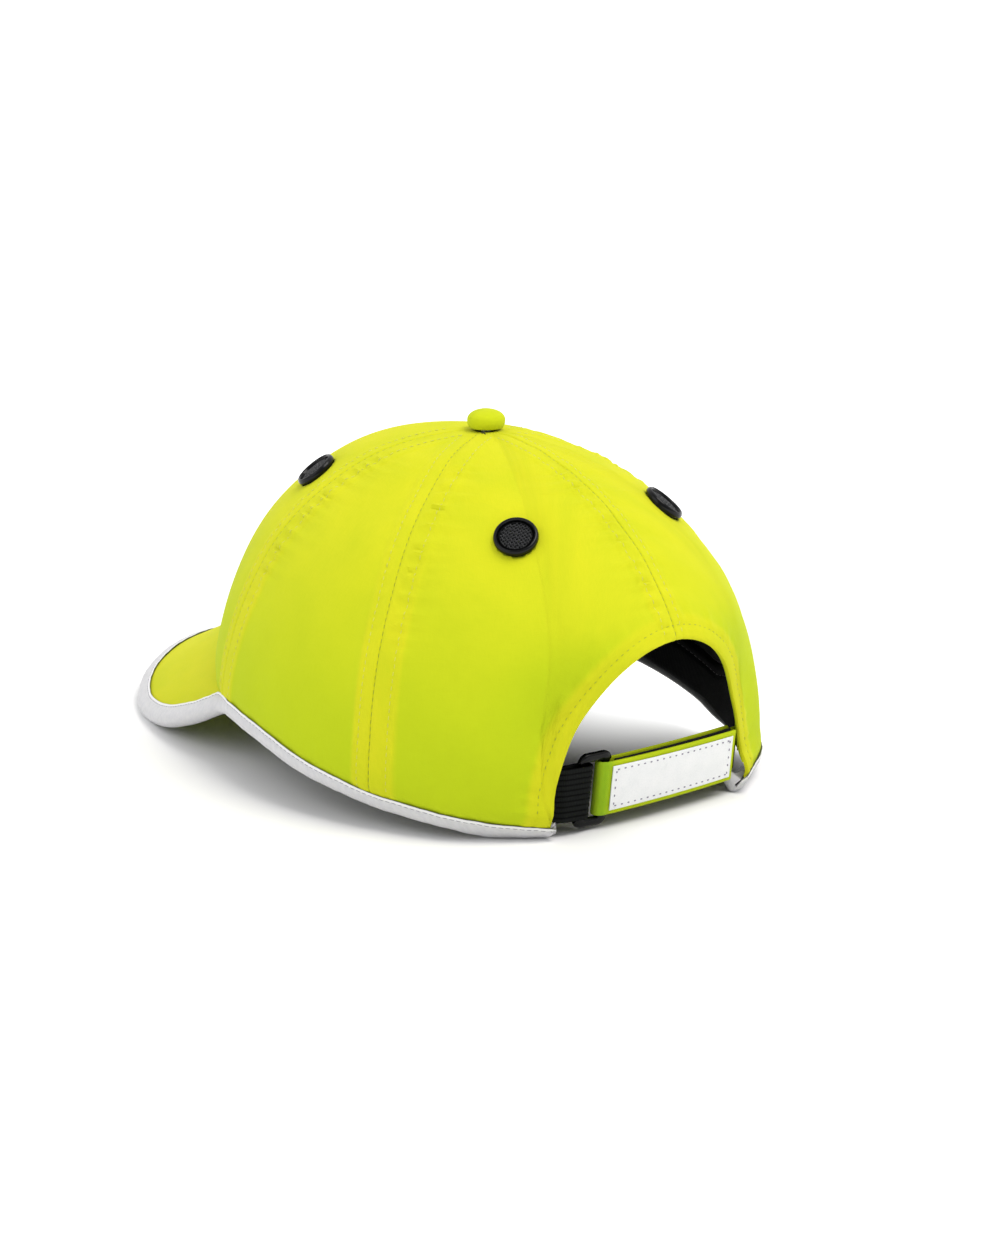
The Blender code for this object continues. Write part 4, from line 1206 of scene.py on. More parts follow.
def crown_tape_ring(theta, across_wave, up_wave):
    """The section on the crown's lower edge. It stands on the floor at the rear.

    Its left end curves up to a point; its right end stays open as a thick U.
    """
    height = float(crown_edge(theta)) + WIDEST_LEVEL
    foot = float(smooth((abs(theta) - FOOT_START) / FOOT_LENGTH))
    reach = mix(TAPE_REACH, height, foot)
    radius = float(plan_radius(np.array(theta), 0.0))
    left = math.radians(TIP_ANGLE - abs(theta)) * radius
    taper = min(max(1.0 - left / TIP_LENGTH, 0.0), 1.0)
    if theta > 0:
        reach = reach * (0.16 + 0.84 * math.sqrt(1.0 - taper**2))
        thickness = PANEL_THICKNESS * (1.0 - 0.35 * taper)
        section = tape_section(thickness, reach, 0.4 * TIP_SWELL * taper, 0.85 * taper)
    else:
        reach = reach * (0.86 + 0.14 * math.sqrt(1.0 - taper**2))
        swell = 1.7 * TIP_SWELL * float(smooth(taper * 1.3))
        section = tape_section(PANEL_THICKNESS, reach, swell, 0.5 * float(smooth(taper * 2.0)))
    across = section[:, 0] + across_wave * np.where(section[:, 0] > 0, 1.0, -0.4)
    up = section[:, 1] + up_wave
    meridian = level_to_meridian(np.full(len(up), theta), crown_edge(theta) + up)
    ring = crown_point(np.full(len(up), theta), meridian, across)
    ring[:, 2] = np.maximum(ring[:, 2], 0.05)
    return ring


def outline_point(turn, inset=0.0):
    """(x, y) on the peak's outline; turn is 0 at the tip and 90 at the side."""
    angle = np.radians(np.abs(turn))
    x = (PEAK_HALF_WIDTH - inset) * np.sin(angle) ** (2 / PEAK_EXPONENT)
    y = PEAK_CENTRE_Y - (PEAK_REACH - inset) * np.cos(angle) ** (2 / PEAK_EXPONENT)
    return np.stack((np.copysign(x, turn), y), axis=-1)


def peak_frame(x, y):
    step = 0.05
    slope_x = (peak_top(x + step, y) - peak_top(x - step, y)) / (2 * step)
    slope_y = (peak_top(x, y + step) - peak_top(x, y - step)) / (2 * step)
    normal = unit(np.stack((-slope_x, -slope_y, np.ones(np.shape(x))), axis=-1))
    return np.stack((x, y, peak_top(x, y)), axis=-1), normal


def peak_tape_ring(turn, across_wave, up_wave):
    here = outline_point(turn)
    ahead = unit(outline_point(turn + 0.5) - outline_point(turn - 0.5))
    outward = np.array((ahead[1], -ahead[0], 0.0))
    point, normal = peak_frame(here[0], here[1])
    outward = unit(outward - normal * outward.dot(normal))
    section = tape_section(PEAK_TOTAL, PEAK_TAPE_REACH, belly=1.3)
    across = section[:, 0] + across_wave * np.where(section[:, 0] > 0, 1.0, -0.4)
    inside = PEAK_TAPE_REACH + section[:, 1] + up_wave - PEAK_STAND
    ring = point + normal * across[:, None] - outward * inside[:, None]
    ring[:, 2] = np.maximum(ring[:, 2], 0.05)
    return ring


def make_binding():
    """One tape from the rear left corner, round the peak, to the rear right corner."""
    crown_step = math.degrees(BINDING_STEP / HALF_WIDTH)
    crown_part = np.arange(JOIN_FROM, TIP_ANGLE, crown_step)
    crown_part = np.append(crown_part[:-1], TIP_ANGLE)
    fold = steps(0.0, 1.0, 9)[1:-1]
    peak_part = steps(-JOIN_TURN_END, JOIN_TURN_END, 240)
    stations = [("crown", 1.0, theta) for theta in crown_part[::-1]]
    stations += [("fold", 1.0, share) for share in fold]
    stations += [("peak", 1.0, turn) for turn in peak_part[::-1]]
    stations += [("fold", -1.0, share) for share in fold[::-1]]
    stations += [("crown", -1.0, theta) for theta in crown_part]
    rings = []
    for i, (kind, side, value) in enumerate(stations):
        along = i * BINDING_STEP
        across_wave = 0.07 * ripple(along, 9.0, 0.4) + 0.035 * ripple(along, 3.3, 1.1)
        up_wave = 0.10 * ripple(along, 27.0, 2.0)
        if kind == "crown":
            ring = crown_tape_ring(side * value, across_wave, up_wave)
        elif kind == "peak":
            ring = peak_tape_ring(value, across_wave, up_wave)
        else:
            first = crown_tape_ring(side * mix(JOIN_FROM, JOIN_TO, value), across_wave, up_wave)
            second = peak_tape_ring(side * mix(JOIN_TURN, JOIN_TURN_END, value), across_wave, up_wave)
            ring = mix(first, second, smooth(value))
        rings.append(ring)
    rings = np.array(rings)
    marks = np.zeros(rings.shape[1])
    marks[:CREASE] = 1.0
    # The rows next to the cloth carry a painted shade line along the lip.
    marks[:SHADE_LINE_ROWS] = 2.0
    marks[CREASE] = 0.4
    marks = np.tile(marks, (len(rings), 1))
    covered = [kind == "crown" and value < COVERED_TO for kind, side, value in stations]
    inner_leg = len(TAPE_SECTION) + TAPE_BEND + 1
    marks[covered, inner_leg:] = COVERED
    made = sweep("edge_binding", rings, PAINTS["tape"], marks, open_section=True)
    finish_piece(made, "root", "reflective_tape", "edge_binding_left", "edge_binding_right", "peak_binding")
    along = unit(np.gradient(rings[:, CREASE], axis=0))
    normal = unit(np.cross(rings[:, CREASE - 1] - rings[:, CREASE + 1], along))
    outward = rings[:, CREASE] - rings[:, len(TAPE_SECTION) + TAPE_BEND]
    normal = normal * np.sign(np.sum(normal * outward, axis=-1, keepdims=True))
    line = (rings[2:-2, CREASE], normal[2:-2])
    made = stitch_mesh("stitches_binding", [line], PAINTS["thread_grey"], 2.4, 2.1, 0.13, 0.05)
    finish_piece(made, "root", "reflective_tape")


# ---------------------------------------------------------------- peak


def peak_grid(depth, inset, tuck, swell):
    across = steps(-PEAK_SPAN, PEAK_SPAN, 150)
    theta = across * PEAK_END
    root = crown_point(theta, level_to_meridian(theta, crown_edge(theta)), np.full(theta.shape, -tuck))[:, :2]
    rim = outline_point(across * PEAK_OUTLINE_END, inset)
    share = steps(0.0, 1.0, 56)[:, None]
    spot = mix(root[None], rim[None], share[..., None])
    point, normal = peak_frame(spot[..., 0], spot[..., 1])
    soft = 0.12 * ripple2(spot[..., 0], spot[..., 1], 38.0, 1.9)
    pull = 0.10 * ripple(spot[..., 0], 8.5, 0.5) * bump(share, 0.09)
    swelling = swell * (np.sin(math.pi * share) ** 0.6 * 0.25 + soft + pull)
    return point - normal * (depth - swelling)[..., None]


def make_peak():
    outer = peak_grid(0.0, PEAK_INSET, 0.5, 1.0)
    inner = peak_grid(PEAK_COVER, PEAK_INSET, 0.5, 0.0)
    # The whole top of the peak takes the second, yellower tone, a painted top light on this upward-facing
    # cloth.
    top = sheet("peak_cloth_top", outer, inner, PAINTS["peak"], marks=1.0)
    finish_piece(top, "root", "crown_fabric", "peak_top_cover")
    outer = peak_grid(PEAK_UNDER_DEPTH, PEAK_INSET, 0.3, 0.0)
    inner = peak_grid(PEAK_UNDER_DEPTH + PEAK_COVER, PEAK_INSET, 0.3, -0.6)
    under = sheet("peak_cloth_under", outer, inner, PAINTS["under"])
    finish_piece(under, "root", "peak_lining", "peak_under_cover")
    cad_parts["peak_board"].data.materials[0] = PAINTS["board"]


# ---------------------------------------------------------------- lining


def patch_grid(theta, low, high, lift, rows):
    """A grid of crown points between two meridians; lift may vary over the grid."""
    share = steps(0.0, 1.0, rows)[:, None]
    meridian = mix(np.asarray(low)[None], np.asarray(high)[None], share)
    theta = np.broadcast_to(theta[None], meridian.shape)
    return crown_point(theta, meridian, np.broadcast_to(lift, meridian.shape))


def make_seam_tapes():
    seams = {
        "front_left": FRONT_SEAM,
        "front_right": -FRONT_SEAM,
        "side_left": SIDE_SEAM,
        "side_right": -SIDE_SEAM,
        "rear": REAR_SEAM,
    }
    share = steps(0.0, 1.0, 90)
    across = steps(-1.0, 1.0, 8)
    for word, seam in seams.items():
        start = opening_point(90.0)[1] + 11.0 if word == "rear" else float(crown_edge(seam)) + 6.0
        meridian = mix(float(level_to_meridian(seam, start)), 0.9, share)
        half = np.degrees(TAPE_WIDTH / 2 / plan_radius(np.full(share.shape, seam), meridian))
        theta = seam + half[:, None] * across[None]
        meridian = np.broadcast_to(meridian[:, None], theta.shape)
        crown_of_tape = -TAPE_DEPTH - 0.06 * across[None] ** 4 + 0 * theta
        outer = crown_point(theta, meridian, crown_of_tape)
        inner = crown_point(theta, meridian, crown_of_tape - TAPE_THICKNESS)
        made = sheet("seam_tape_cloth_" + word, outer, inner, PAINTS["lining"])
        finish_piece(made, "root", "lining", "seam_tape_" + word)


def shell_rim(theta):
    folded = np.where(np.abs(theta) <= 180, np.abs(theta), 360 - np.abs(theta))
    return mix(crown_edge(folded) + 8.0, 57.0, smooth((folded - 112.0) / 30.0))


def slot_cutter(theta, width=5.0, length=20.0):
    """A rounded slot through the shell, upright along the meridian."""
    place = facing(crown_point(theta, SLOT_MERIDIAN), crown_normal(theta, SLOT_MERIDIAN))
    turn = steps(0.0, math.pi, 10)
    straight = length / 2 - width / 2
    top = np.stack((width / 2 * np.cos(turn), straight + width / 2 * np.sin(turn)), -1)
    outline = np.concatenate((top, -top))
    rings = [np.column_stack((outline, np.full(len(outline), level))) for level in (3.0, -9.0)]
    return sweep("cutter_slot", carried(np.array(rings), place), PAINTS["shell"])


def make_shell():
    theta = np.arange(0.0, 360.0, 2.5)
    low = level_to_meridian(theta, shell_rim(theta))
    high = np.ones(theta.shape)
    outer = patch_grid(theta, low, high, -SHELL_DEPTH, 60)
    inner = patch_grid(theta, low, high, -SHELL_DEPTH - SHELL_THICKNESS, 60)
    made = sheet("shell_moulding", outer, inner, PAINTS["shell"], wrap=True, rim=0.25)
    cutters = [vent_cutter(name) for name in EYELETS] + [slot_cutter(theta) for theta in SHELL_SLOTS]
    carve(made, cutters)
    finish_piece(made, "root", "shell_plastic", "inner_shell")


def pillow_side(distance, edge):
    """A quarter-round rise from 0 to 1 over the given distance from an edge."""
    return np.sqrt(np.clip(1.0 - (1.0 - np.clip(distance / edge, 0, 1)) ** 2, 0, 1))


def pillow(share_across, share_up, size_across, size_up, edge):
    """How full a pad is, from 0 at its edge to 1 inside."""

    def side(share, size):
        return pillow_side(np.minimum(share, 1.0 - share) * size, edge)

    return side(share_across, size_across) * side(share_up, size_up)


def pad_lifts(full, groove):
    """(outer, inner) lifts of a pad, from how full it is and how deep its sewn channels are."""
    lift_in = -PAD_DEPTH - PAD_THICKNESS * (0.42 + 0.58 * full * (1.0 - 0.45 * groove))
    return -PAD_DEPTH - PAD_THICKNESS * 0.36 * (1.0 - full), lift_in


def make_pad(name, start, end, low, high, node, channels=()):
    """A foam pad: flat against the shell, crowned towards the head, with sewn channels across it."""
    columns = max(16, int(abs(end - start) * 0.8))
    theta = steps(start, end, columns)
    radius = float(plan_radius(np.array((start + end) / 2), (low + high) / 2))
    width = math.radians(abs(end - start)) * radius
    height = (high - low) * MERIDIAN_LENGTH
    share_across = np.broadcast_to(steps(0.0, 1.0, columns)[None], (41, columns + 1))
    share_up = np.broadcast_to(steps(0.0, 1.0, 40)[:, None], share_across.shape)
    full = pillow(share_across, share_up, width, height, PAD_EDGE)
    groove = np.zeros(full.shape)
    for channel in channels:
        groove = np.maximum(groove, bump((share_across - channel) * width, 2.2))
    lift_out, lift_in = pad_lifts(full, groove)
    lows, highs = np.full(theta.shape, low), np.full(theta.shape, high)
    outer = patch_grid(theta, lows, highs, lift_out, 40)
    inner = patch_grid(theta, lows, highs, lift_in, 40)
    made = sheet(name, outer, inner, PAINTS["pad"], rim=0.5)
    finish_piece(made, "root", "foam", node)


def make_crown_pad():
    """A round pad under the apex with a sewn star of channels."""
    theta = np.arange(0.0, 360.0, 3.0)
    share = steps(0.0, 1.0, 34)[:, None]
    low, high = np.full(theta.shape, CROWN_PAD_FROM), np.full(theta.shape, 1.0)
    reach = (1.0 - share) * (1.0 - CROWN_PAD_FROM) * MERIDIAN_LENGTH
    distance = share * (1.0 - CROWN_PAD_FROM) * MERIDIAN_LENGTH
    full = pillow_side(distance, PAD_EDGE) + 0 * theta[None]
    spoke = np.abs((theta[None] + 30.0) % 60.0 - 30.0)
    groove = bump(np.radians(spoke) * reach, 2.0) * smooth((reach - 6.0) / 6.0) * smooth(distance / 7.0)
    lift_out, lift_in = pad_lifts(full, groove)
    outer = patch_grid(theta, low, high, lift_out, 34)
    inner = patch_grid(theta, low, high, lift_in, 34)
    made = sheet("crown_cushion", outer, inner, PAINTS["pad"], wrap=True, rim=0.5)
    finish_piece(made, "root", "foam", "crown_pad")


def make_headband():
    """The folded sweatband: rolled at its top and bottom, with a row of stitches under the top."""
    theta = steps(-BAND_END, BAND_END, 300)
    base = crown_edge(theta) + 1.5
    tall = 21.0 + 8.0 * smooth((np.abs(theta) - 115.0) / 15.0)
    share = steps(0.0, 1.0, 26)[:, None]
    level = base[None] + share * tall[None]
    meridian = level_to_meridian(theta[None], level)
    angles = np.broadcast_to(theta[None], level.shape)
    around = np.radians(angles) * HALF_WIDTH
    full = pillow(np.full(level.shape, 0.5), np.broadcast_to(share, level.shape), 300.0, 24.0, 3.2)
    ends = smooth((BAND_END - np.abs(angles)) / 3.0)
    crease = bump((1.0 - share) * tall[None] - 4.5, 0.8)
    waves = 0.15 * ripple2(around, level, 17.0, 0.4)
    lift_in = -BAND_DEPTH - BAND_THICKNESS * (0.5 + 0.5 * full * ends * (1.0 - 0.5 * crease)) + waves
    lift_out = -BAND_DEPTH - BAND_THICKNESS * 0.4 * (1.0 - full * ends)
    inner = crown_point(angles, meridian, lift_in)
    made = sheet("headband", crown_point(angles, meridian, lift_out), inner, PAINTS["band"], rim=0.5)
    finish_piece(made, "root", "lining", "sweatband")
    row = int(np.argmin(np.abs(share[:, 0] - 0.81)))
    line = (inner[row, 4:-4], -crown_normal(angles[row, 4:-4], meridian[row, 4:-4]))
    finish_piece(stitch_mesh("stitches_headband", [line], PAINTS["thread_black"], 3.0, 2.1), "root", "lining")


# ---------------------------------------------------------------- vents

VENT_RING = (
    (5.30, 0.55), (5.30, 1.20), (5.42, 1.45), (5.62, 1.45), (5.74, 1.15), (5.84, 0.70),
    (6.02, 0.62), (6.16, 0.95), (6.28, 1.60), (6.48, 2.05), (6.76, 2.28), (7.06, 2.26),
    (7.34, 2.05), (7.58, 1.68), (7.72, 1.22), (7.76, 0.85), (7.72, 0.42), (7.50, 0.34),
    (6.90, 0.34), (6.90, -7.10), (6.30, -7.10), (6.30, 0.20), (5.80, 0.20),
)
VENT_WASHER = (
    (7.2, -5.75), (7.35, -5.6), (9.0, -5.6), (9.25, -5.75), (9.3, -6.2),
    (9.2, -6.6), (8.9, -6.7), (7.35, -6.75), (7.2, -6.6),
)
WIRE_PITCH = 1.05
WIRE_RADIUS = 0.25
WEAVE_HEIGHT = 0.2
MESH_RADIUS = 5.55
MESH_LEVEL = 1.0
MESH_DOME = 0.45
MESH_TURN = 38.0


def make_vents():
    for name in EYELETS:
        place = eyelet_frame(name)
        ring = turned("vent_ring_" + name, VENT_RING, PAINTS["vent"], place, 72, 34.0)
        finish_piece(ring, "root", "eyelet_plastic", "eyelet_ring_" + name)
        washer = turned("vent_washer_" + name, VENT_WASHER, PAINTS["vent"], place, 56)
        finish_piece(washer, "root", "eyelet_plastic", "eyelet_washer_" + name)
        finish_piece(vent_mesh(name, place), "root", "eyelet_mesh", "eyelet_mesh_" + name)


def vent_mesh(name, place):
    """Woven round wires, over and under each other, in a slightly domed disc."""
    skin = Skin()
    count = int(MESH_RADIUS // WIRE_PITCH)
    for way in (0, 1):
        for k in range(-count, count + 1):
            offset = k * WIRE_PITCH
            half = math.sqrt(MESH_RADIUS**2 - offset**2)
            if half < WIRE_PITCH:
                continue
            run = np.linspace(-half, half, max(6, int(4 * half / WIRE_PITCH)))
            sign = 1.0 if (k + way) % 2 else -1.0
            weave = sign * WEAVE_HEIGHT * np.cos(math.pi * run / WIRE_PITCH)
            dome = MESH_DOME * (1.0 - (run**2 + offset**2) / MESH_RADIUS**2)
            level = MESH_LEVEL + dome + weave
            fixed = np.full(run.shape, offset)
            path = np.stack((run, fixed, level) if way == 0 else (fixed, run, level), axis=-1)
            turn = np.array(Matrix.Rotation(math.radians(MESH_TURN), 3, "Z"))
            index = skin.grid(carried(round_rings(path @ turn.T, WIRE_RADIUS, 6), place), wrap=True)
            skin.cap(index[0])
            skin.cap(index[-1])
    return skin.build("vent_mesh_" + name, PAINTS["mesh"], 80.0)


# ---------------------------------------------------------------- strap


def strap_y(x):
    return STRAP_Y - STRAP_BOW * (np.asarray(x) / 40.0) ** 2


def layer_path(first, last, offset, count=60):
    x = steps(first, last, count)
    return np.stack((x, strap_y(x) + offset), axis=-1)


def arc(centre, radius, start, end, count=28):
    angle = np.radians(steps(start, end, count))
    return np.stack((centre[0] + radius * np.cos(angle), centre[1] + radius * np.sin(angle)), axis=-1)


def rounded(path, times=3):
    """A path with its corners cut, keeping its ends."""
    path = np.asarray(path, float)
    for _ in range(times):
        first, second = path[:-1], path[1:]
        cut = np.stack((mix(first, second, 0.25), mix(first, second, 0.75)), axis=1).reshape(-1, 2)
        path = np.concatenate((path[:1], cut, path[-1:]))
    return path


def resampled(path, step):
    reach = np.concatenate(([0.0], np.cumsum(np.linalg.norm(np.diff(path, axis=0), axis=-1))))
    at = np.linspace(0.0, reach[-1], max(2, int(reach[-1] / step) + 1))
    return np.stack([np.interp(at, reach, path[:, k]) for k in (0, 1)], axis=-1)


def web_section(thickness, faces=14, ribs=0, hem=0.0, round_share=0.035):
    """(across, share of width) round a flat web with soft edges; ribs or a thicker hem shape its faces."""
    share = steps(-0.5 + round_share, 0.5 - round_share, faces)
    half = np.full(share.shape, thickness / 2)
    if ribs:
        half = thickness / 2 * (0.45 + 0.55 * np.abs(np.sin(math.pi * (share + 0.5) * ribs)) ** 0.6)
    half = half * (1.0 + hem * smooth((np.abs(share) - 0.36) / 0.06))
    turn = np.radians(steps(0.0, 180.0, 6)[1:-1])
    top = np.stack((half[-1] * np.cos(turn), 0.5 - round_share + round_share * np.sin(turn)), -1)
    bottom = np.stack((-half[0] * np.cos(turn), -0.5 + round_share - round_share * np.sin(turn)), -1)
    face = np.stack((half, share), -1)
    back = np.stack((-half[::-1], share[::-1]), -1)
    return np.concatenate((face, top, back, bottom))


def web_rings(path, section, width, end_width=None, wave=None):
    """Rings of a band standing on edge along a plan path."""
    along = unit(np.gradient(path, axis=0))
    side = np.stack((-along[:, 1], along[:, 0]), axis=-1)
    widths = np.linspace(width, end_width or width, len(path))
    widths = widths - SEWN_NARROWING * smooth((np.abs(path[:, 0]) - SEWN_FROM_X) / SEWN_RAMP)
    across = section[None, :, 0] + (0.0 if wave is None else wave)
    spots = path[:, None] + side[:, None] * across[..., None]
    level = STRAP_LEVEL + section[None, :, 1] * widths[:, None]
    return leaned(np.concatenate((spots, level[..., None]), axis=-1))


def leaned(points):
    """The strap hangs with its top edge outwards."""
    points = np.array(points, float)
    points[..., 1] += STRAP_LEAN * (points[..., 2] - STRAP_LEVEL)
    return points


def web_line(path, side_offset, share, width, end_width=None):
    """Points and normals along a web's face, at a share of its width, for a row of stitches."""
    section = np.array([(side_offset, share)])
    along = unit(np.gradient(path, axis=0))
    normal = np.stack((-along[:, 1], along[:, 0], np.zeros(len(path))), axis=-1)
    normal = normal * math.copysign(1.0, side_offset)
    return web_rings(path, section, width, end_width)[:, 0], normal


WEB_RADIUS = FOLD_RADIUS + WEB / 2
PILE_OFFSET = WEB_RADIUS - WEB / 2 - 0.3 - PILE / 2
LEFT_BAR = BUCKLE_X + BAR_SPACING / 2
RIGHT_BAR = BUCKLE_X - BAR_SPACING / 2


def make_elastic():
    front = [(49.0, 78.2), (46.5, 80.8), (44.5, 82.6), (41.0, 84.6), (37.5, 87.0)]
    back = [(38.0, 82.9), (41.0, 82.4), (44.5, 81.1), (46.5, 79.3), (48.0, 77.4)]
    fold = arc((LEFT_BAR, float(strap_y(LEFT_BAR))), WEB_RADIUS, 80.0, 275.0)
    path = resampled(np.concatenate((rounded(front, 2), fold, rounded(back, 2))), 0.7)
    section = web_section(WEB + 0.1, 90, ribs=10)
    # Painted shade: the valleys between the ribs and the web's rounded edges are marked darker.
    painted_rib_shade = smooth((np.abs(section[:, 0]) / (WEB / 2 + 0.05) - 0.5) / 0.45)
    rings = web_rings(path, section, STRAP_WIDTH)
    made = sweep("elastic_band", rings, PAINTS["elastic"], np.broadcast_to(painted_rib_shade, rings.shape[:2]), 75.0)
    finish_piece(made, "root", "webbing", "elastic_web")


def crease_wave(path, section, centre_x, seed):
    """Fine upright creases where the web comes off its fold."""
    near = bump(path[:, 0] - centre_x, 5.0)
    reach = np.arange(len(path)) * 0.5
    lines = 0.07 * ripple(reach, 1.6, seed) + 0.05 * ripple(reach, 3.7, seed + 1)
    lean = 0.35 * np.sin(section[:, 1] * 5.0 + seed)
    return (lines[:, None] + 0.02 * lean[None]) * near[:, None]


def make_straps():
    centre = (RIGHT_BAR, float(strap_y(RIGHT_BAR)))
    anchored = [(-49.0, 78.4), (-46.5, 80.9)]
    behind = layer_path(-44.0, RIGHT_BAR - 0.2, -WEB_RADIUS, 40)
    path = resampled(np.concatenate((rounded(anchored + [tuple(behind[0])], 2)[:-1], behind)), 0.5)
    section = web_section(WEB, 16, hem=0.10)
    wave = crease_wave(path, section, RIGHT_BAR, 0.3)
    rings = web_rings(path, section, STRAP_WIDTH, wave=wave)
    made = sweep("strap_inner_cloth", rings, PAINTS["strap"], sharp=70.0)
    finish_piece(made, "root", "crown_fabric", "strap_inner")

    fold = arc(centre, WEB_RADIUS, -88.0, 90.0)
    path = resampled(np.concatenate((fold[:-1], layer_path(RIGHT_BAR, TAIL_END_X, WEB_RADIUS))), 0.5)
    wave = crease_wave(path, section, RIGHT_BAR - 1.0, 1.4)
    rings = web_rings(path, section, STRAP_WIDTH, TAIL_END_WIDTH, wave)
    # Painted shade: the strap cloth turns darker green just past its fold round the bar.
    shade = 0.8 * bump(path[:, 0] - RIGHT_BAR - 1.0, 2.8)
    shade = np.broadcast_to(shade[:, None], rings.shape[:2])
    tail = sweep("strap_tail_cloth", rings, PAINTS["strap"], shade, 70.0)
    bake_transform(tail)
    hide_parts("strap_tail")

    rng = np.random.default_rng(7)
    width, end_width = STRAP_WIDTH - PILE_MARGIN, TAIL_END_WIDTH - PILE_MARGIN
    for kind, body, first, last, offset, last_width in (
        ("loop", "root", -41.5, RIGHT_BAR - 5.9, -PILE_OFFSET, width),
        ("hook", "tail", RIGHT_BAR - 9.9, TAIL_END_X + 2.0, PILE_OFFSET, end_width),
    ):
        path = resampled(layer_path(first, last, offset), 0.8)
        section = web_section(PILE - 0.15, 24, round_share=0.03)
        fuzz = rng.uniform(-0.07, 0.07, (len(path), len(section)))
        rings = web_rings(path, section, width, last_width, fuzz)
        made = sweep(kind + "_pile", rings, PAINTS[kind], sharp=80.0)
        finish_piece(made, body, "hook_and_loop", kind + "_patch")

    make_patch()


def make_patch():
    offset = WEB_RADIUS + WEB / 2 + 0.5
    first, last = RIGHT_BAR - 1.3, TAIL_END_X + 1.8
    path = resampled(layer_path(first, last, offset), 0.6)
    section = web_section(0.4, 20, round_share=0.02)
    soft = 0.05 * ripple2(path[:, :1], section[None, :, 1] * PATCH_WIDTH, 16.0, 0.8)
    rings = web_rings(path, section, PATCH_WIDTH, PATCH_END_WIDTH, soft)
    made = sweep("reflective_tab", rings, PAINTS["patch"], sharp=60.0)
    finish_piece(made, "tail", "reflective_tape", "reflective_patch")
    rows = []
    reach = PATCH_WIDTH / 2 - PATCH_STITCH_INSET
    for way in (1.0, -1.0):
        share = way * reach / PATCH_WIDTH
        rows.append(web_line(path[3:-3], -0.2, share, PATCH_WIDTH, PATCH_END_WIDTH))
    for x in (first - PATCH_STITCH_INSET, last + PATCH_STITCH_INSET):
        level = STRAP_LEVEL + steps(-reach, reach, 30)
        fixed = np.ones(level.shape)
        points = np.stack((fixed * x, fixed * (float(strap_y(x)) + offset + 0.2), level), -1)
        rows.append((leaned(points), np.broadcast_to((0.0, 1.0, 0.0), points.shape).copy()))
    made = stitch_mesh("stitches_patch", rows, PAINTS["thread_grey"], 2.9, 0.95, 0.24, 0.06)
    finish_piece(made, "tail", "reflective_tape")


def make_buckle():
    """A loop of rounded section: round bars for the webs and deep rails above and below."""
    sides = 96
    turn = 2 * math.pi * (np.arange(sides) + 0.5) / sides

    def outline(half_x, half_z, radius):
        cos, sin = np.cos(turn), np.sin(turn)
        scale = 1.0 / np.maximum(np.abs(cos) / half_x, np.abs(sin) / half_z)
        x, z = cos * scale, sin * scale
        corner_x, corner_z = half_x - radius, half_z - radius
        over = (np.abs(x) > corner_x) & (np.abs(z) > corner_z)
        dx, dz = np.abs(x) - corner_x, np.abs(z) - corner_z
        reach = np.maximum(np.hypot(dx, dz), 1e-6)
        pulled_x = np.sign(x) * (corner_x + dx / reach * radius)
        pulled_z = np.sign(z) * (corner_z + dz / reach * radius)
        return np.stack((np.where(over, pulled_x, x), np.where(over, pulled_z, z)), axis=-1)

    bar_edge = BAR_SPACING / 2 + BAR_RADIUS
    outer = outline(bar_edge + RAIL_OVERHANG, BUCKLE_HEIGHT / 2, 3.4)
    on_rail = smooth((np.abs(outer[:, 1]) - STRAP_WIDTH / 2 - 0.3) / 1.0)
    outer[:, 0] *= mix(bar_edge / (bar_edge + RAIL_OVERHANG), 1.0, on_rail)
    inner = outline(BAR_SPACING / 2 - BAR_RADIUS, BUCKLE_HEIGHT / 2 - RAIL_HEIGHT, 0.9)
    about = full_turn(20)
    power = 2 / 3.0
    reach = np.sign(np.cos(about)) * np.abs(np.cos(about)) ** power
    depth = np.sign(np.sin(about)) * np.abs(np.sin(about)) ** power * BUCKLE_THICKNESS / 2
    middle, half = (outer + inner) / 2, (outer - inner) / 2
    flat = middle[:, None] + half[:, None] * reach[None, :, None]
    beyond_web = smooth((np.abs(flat[..., 1]) - STRAP_WIDTH / 2 - 0.3) / 1.0)
    depth = depth[None] * mix(0.92, 1.25, beyond_web)
    rings = np.stack((flat[..., 0], depth, flat[..., 1]), axis=-1)
    lean = math.atan2(float(strap_y(BUCKLE_X - 4) - strap_y(BUCKLE_X + 4)), -8.0) + math.pi
    centre = (BUCKLE_X, float(strap_y(BUCKLE_X)), STRAP_LEVEL)
    place = Matrix.Translation(centre) @ Matrix.Rotation(lean, 4, "Z")
    rings = leaned(carried(rings, place))
    made = sweep("loop_buckle", rings, PAINTS["buckle"], sharp=60.0, closed=True)
    finish_piece(made, "buckle", "buckle_plastic", "buckle")


# ---------------------------------------------------------------- studio

WORLD_FADE = (-0.3, 0.9)
WORLD_DIM = 0.5
GLOW_SPOT = (-95.0, -25.0, 0.0)
GLOW_RADIUS = 95.0
GLOW_POWER = 0.95
FAR_GLOW_POWER = 0.6
FAR_GLOW_FROM = 150.0
FAR_GLOW_TO = 500.0
FLOOR_REACH = 12000.0
WARM_WHITE = (1.0, 0.97, 0.95)
COOL_WHITE = (0.98, 0.99, 1.0)


def area_light(name, power, size, azimuth, elevation, distance, colour):
    """A soft square light that looks at the cap."""
    data = bpy.data.lights.new(name, "AREA")
    data.energy, data.size, data.color = power, size, colour
    light = bpy.data.objects.new(name, data)
    bpy.context.collection.objects.link(light)
    target = Vector(to_frame(CAMERA_TARGET))
    light.location = target + distance * Vector(direction(azimuth, elevation))
    light.rotation_euler = (target - light.location).to_track_quat("-Z", "Y").to_euler()
    return light


def direction(azimuth, elevation):
    turn, rise = math.radians(azimuth), math.radians(elevation)
    return (math.sin(turn) * math.cos(rise), -math.cos(turn) * math.cos(rise), math.sin(rise))


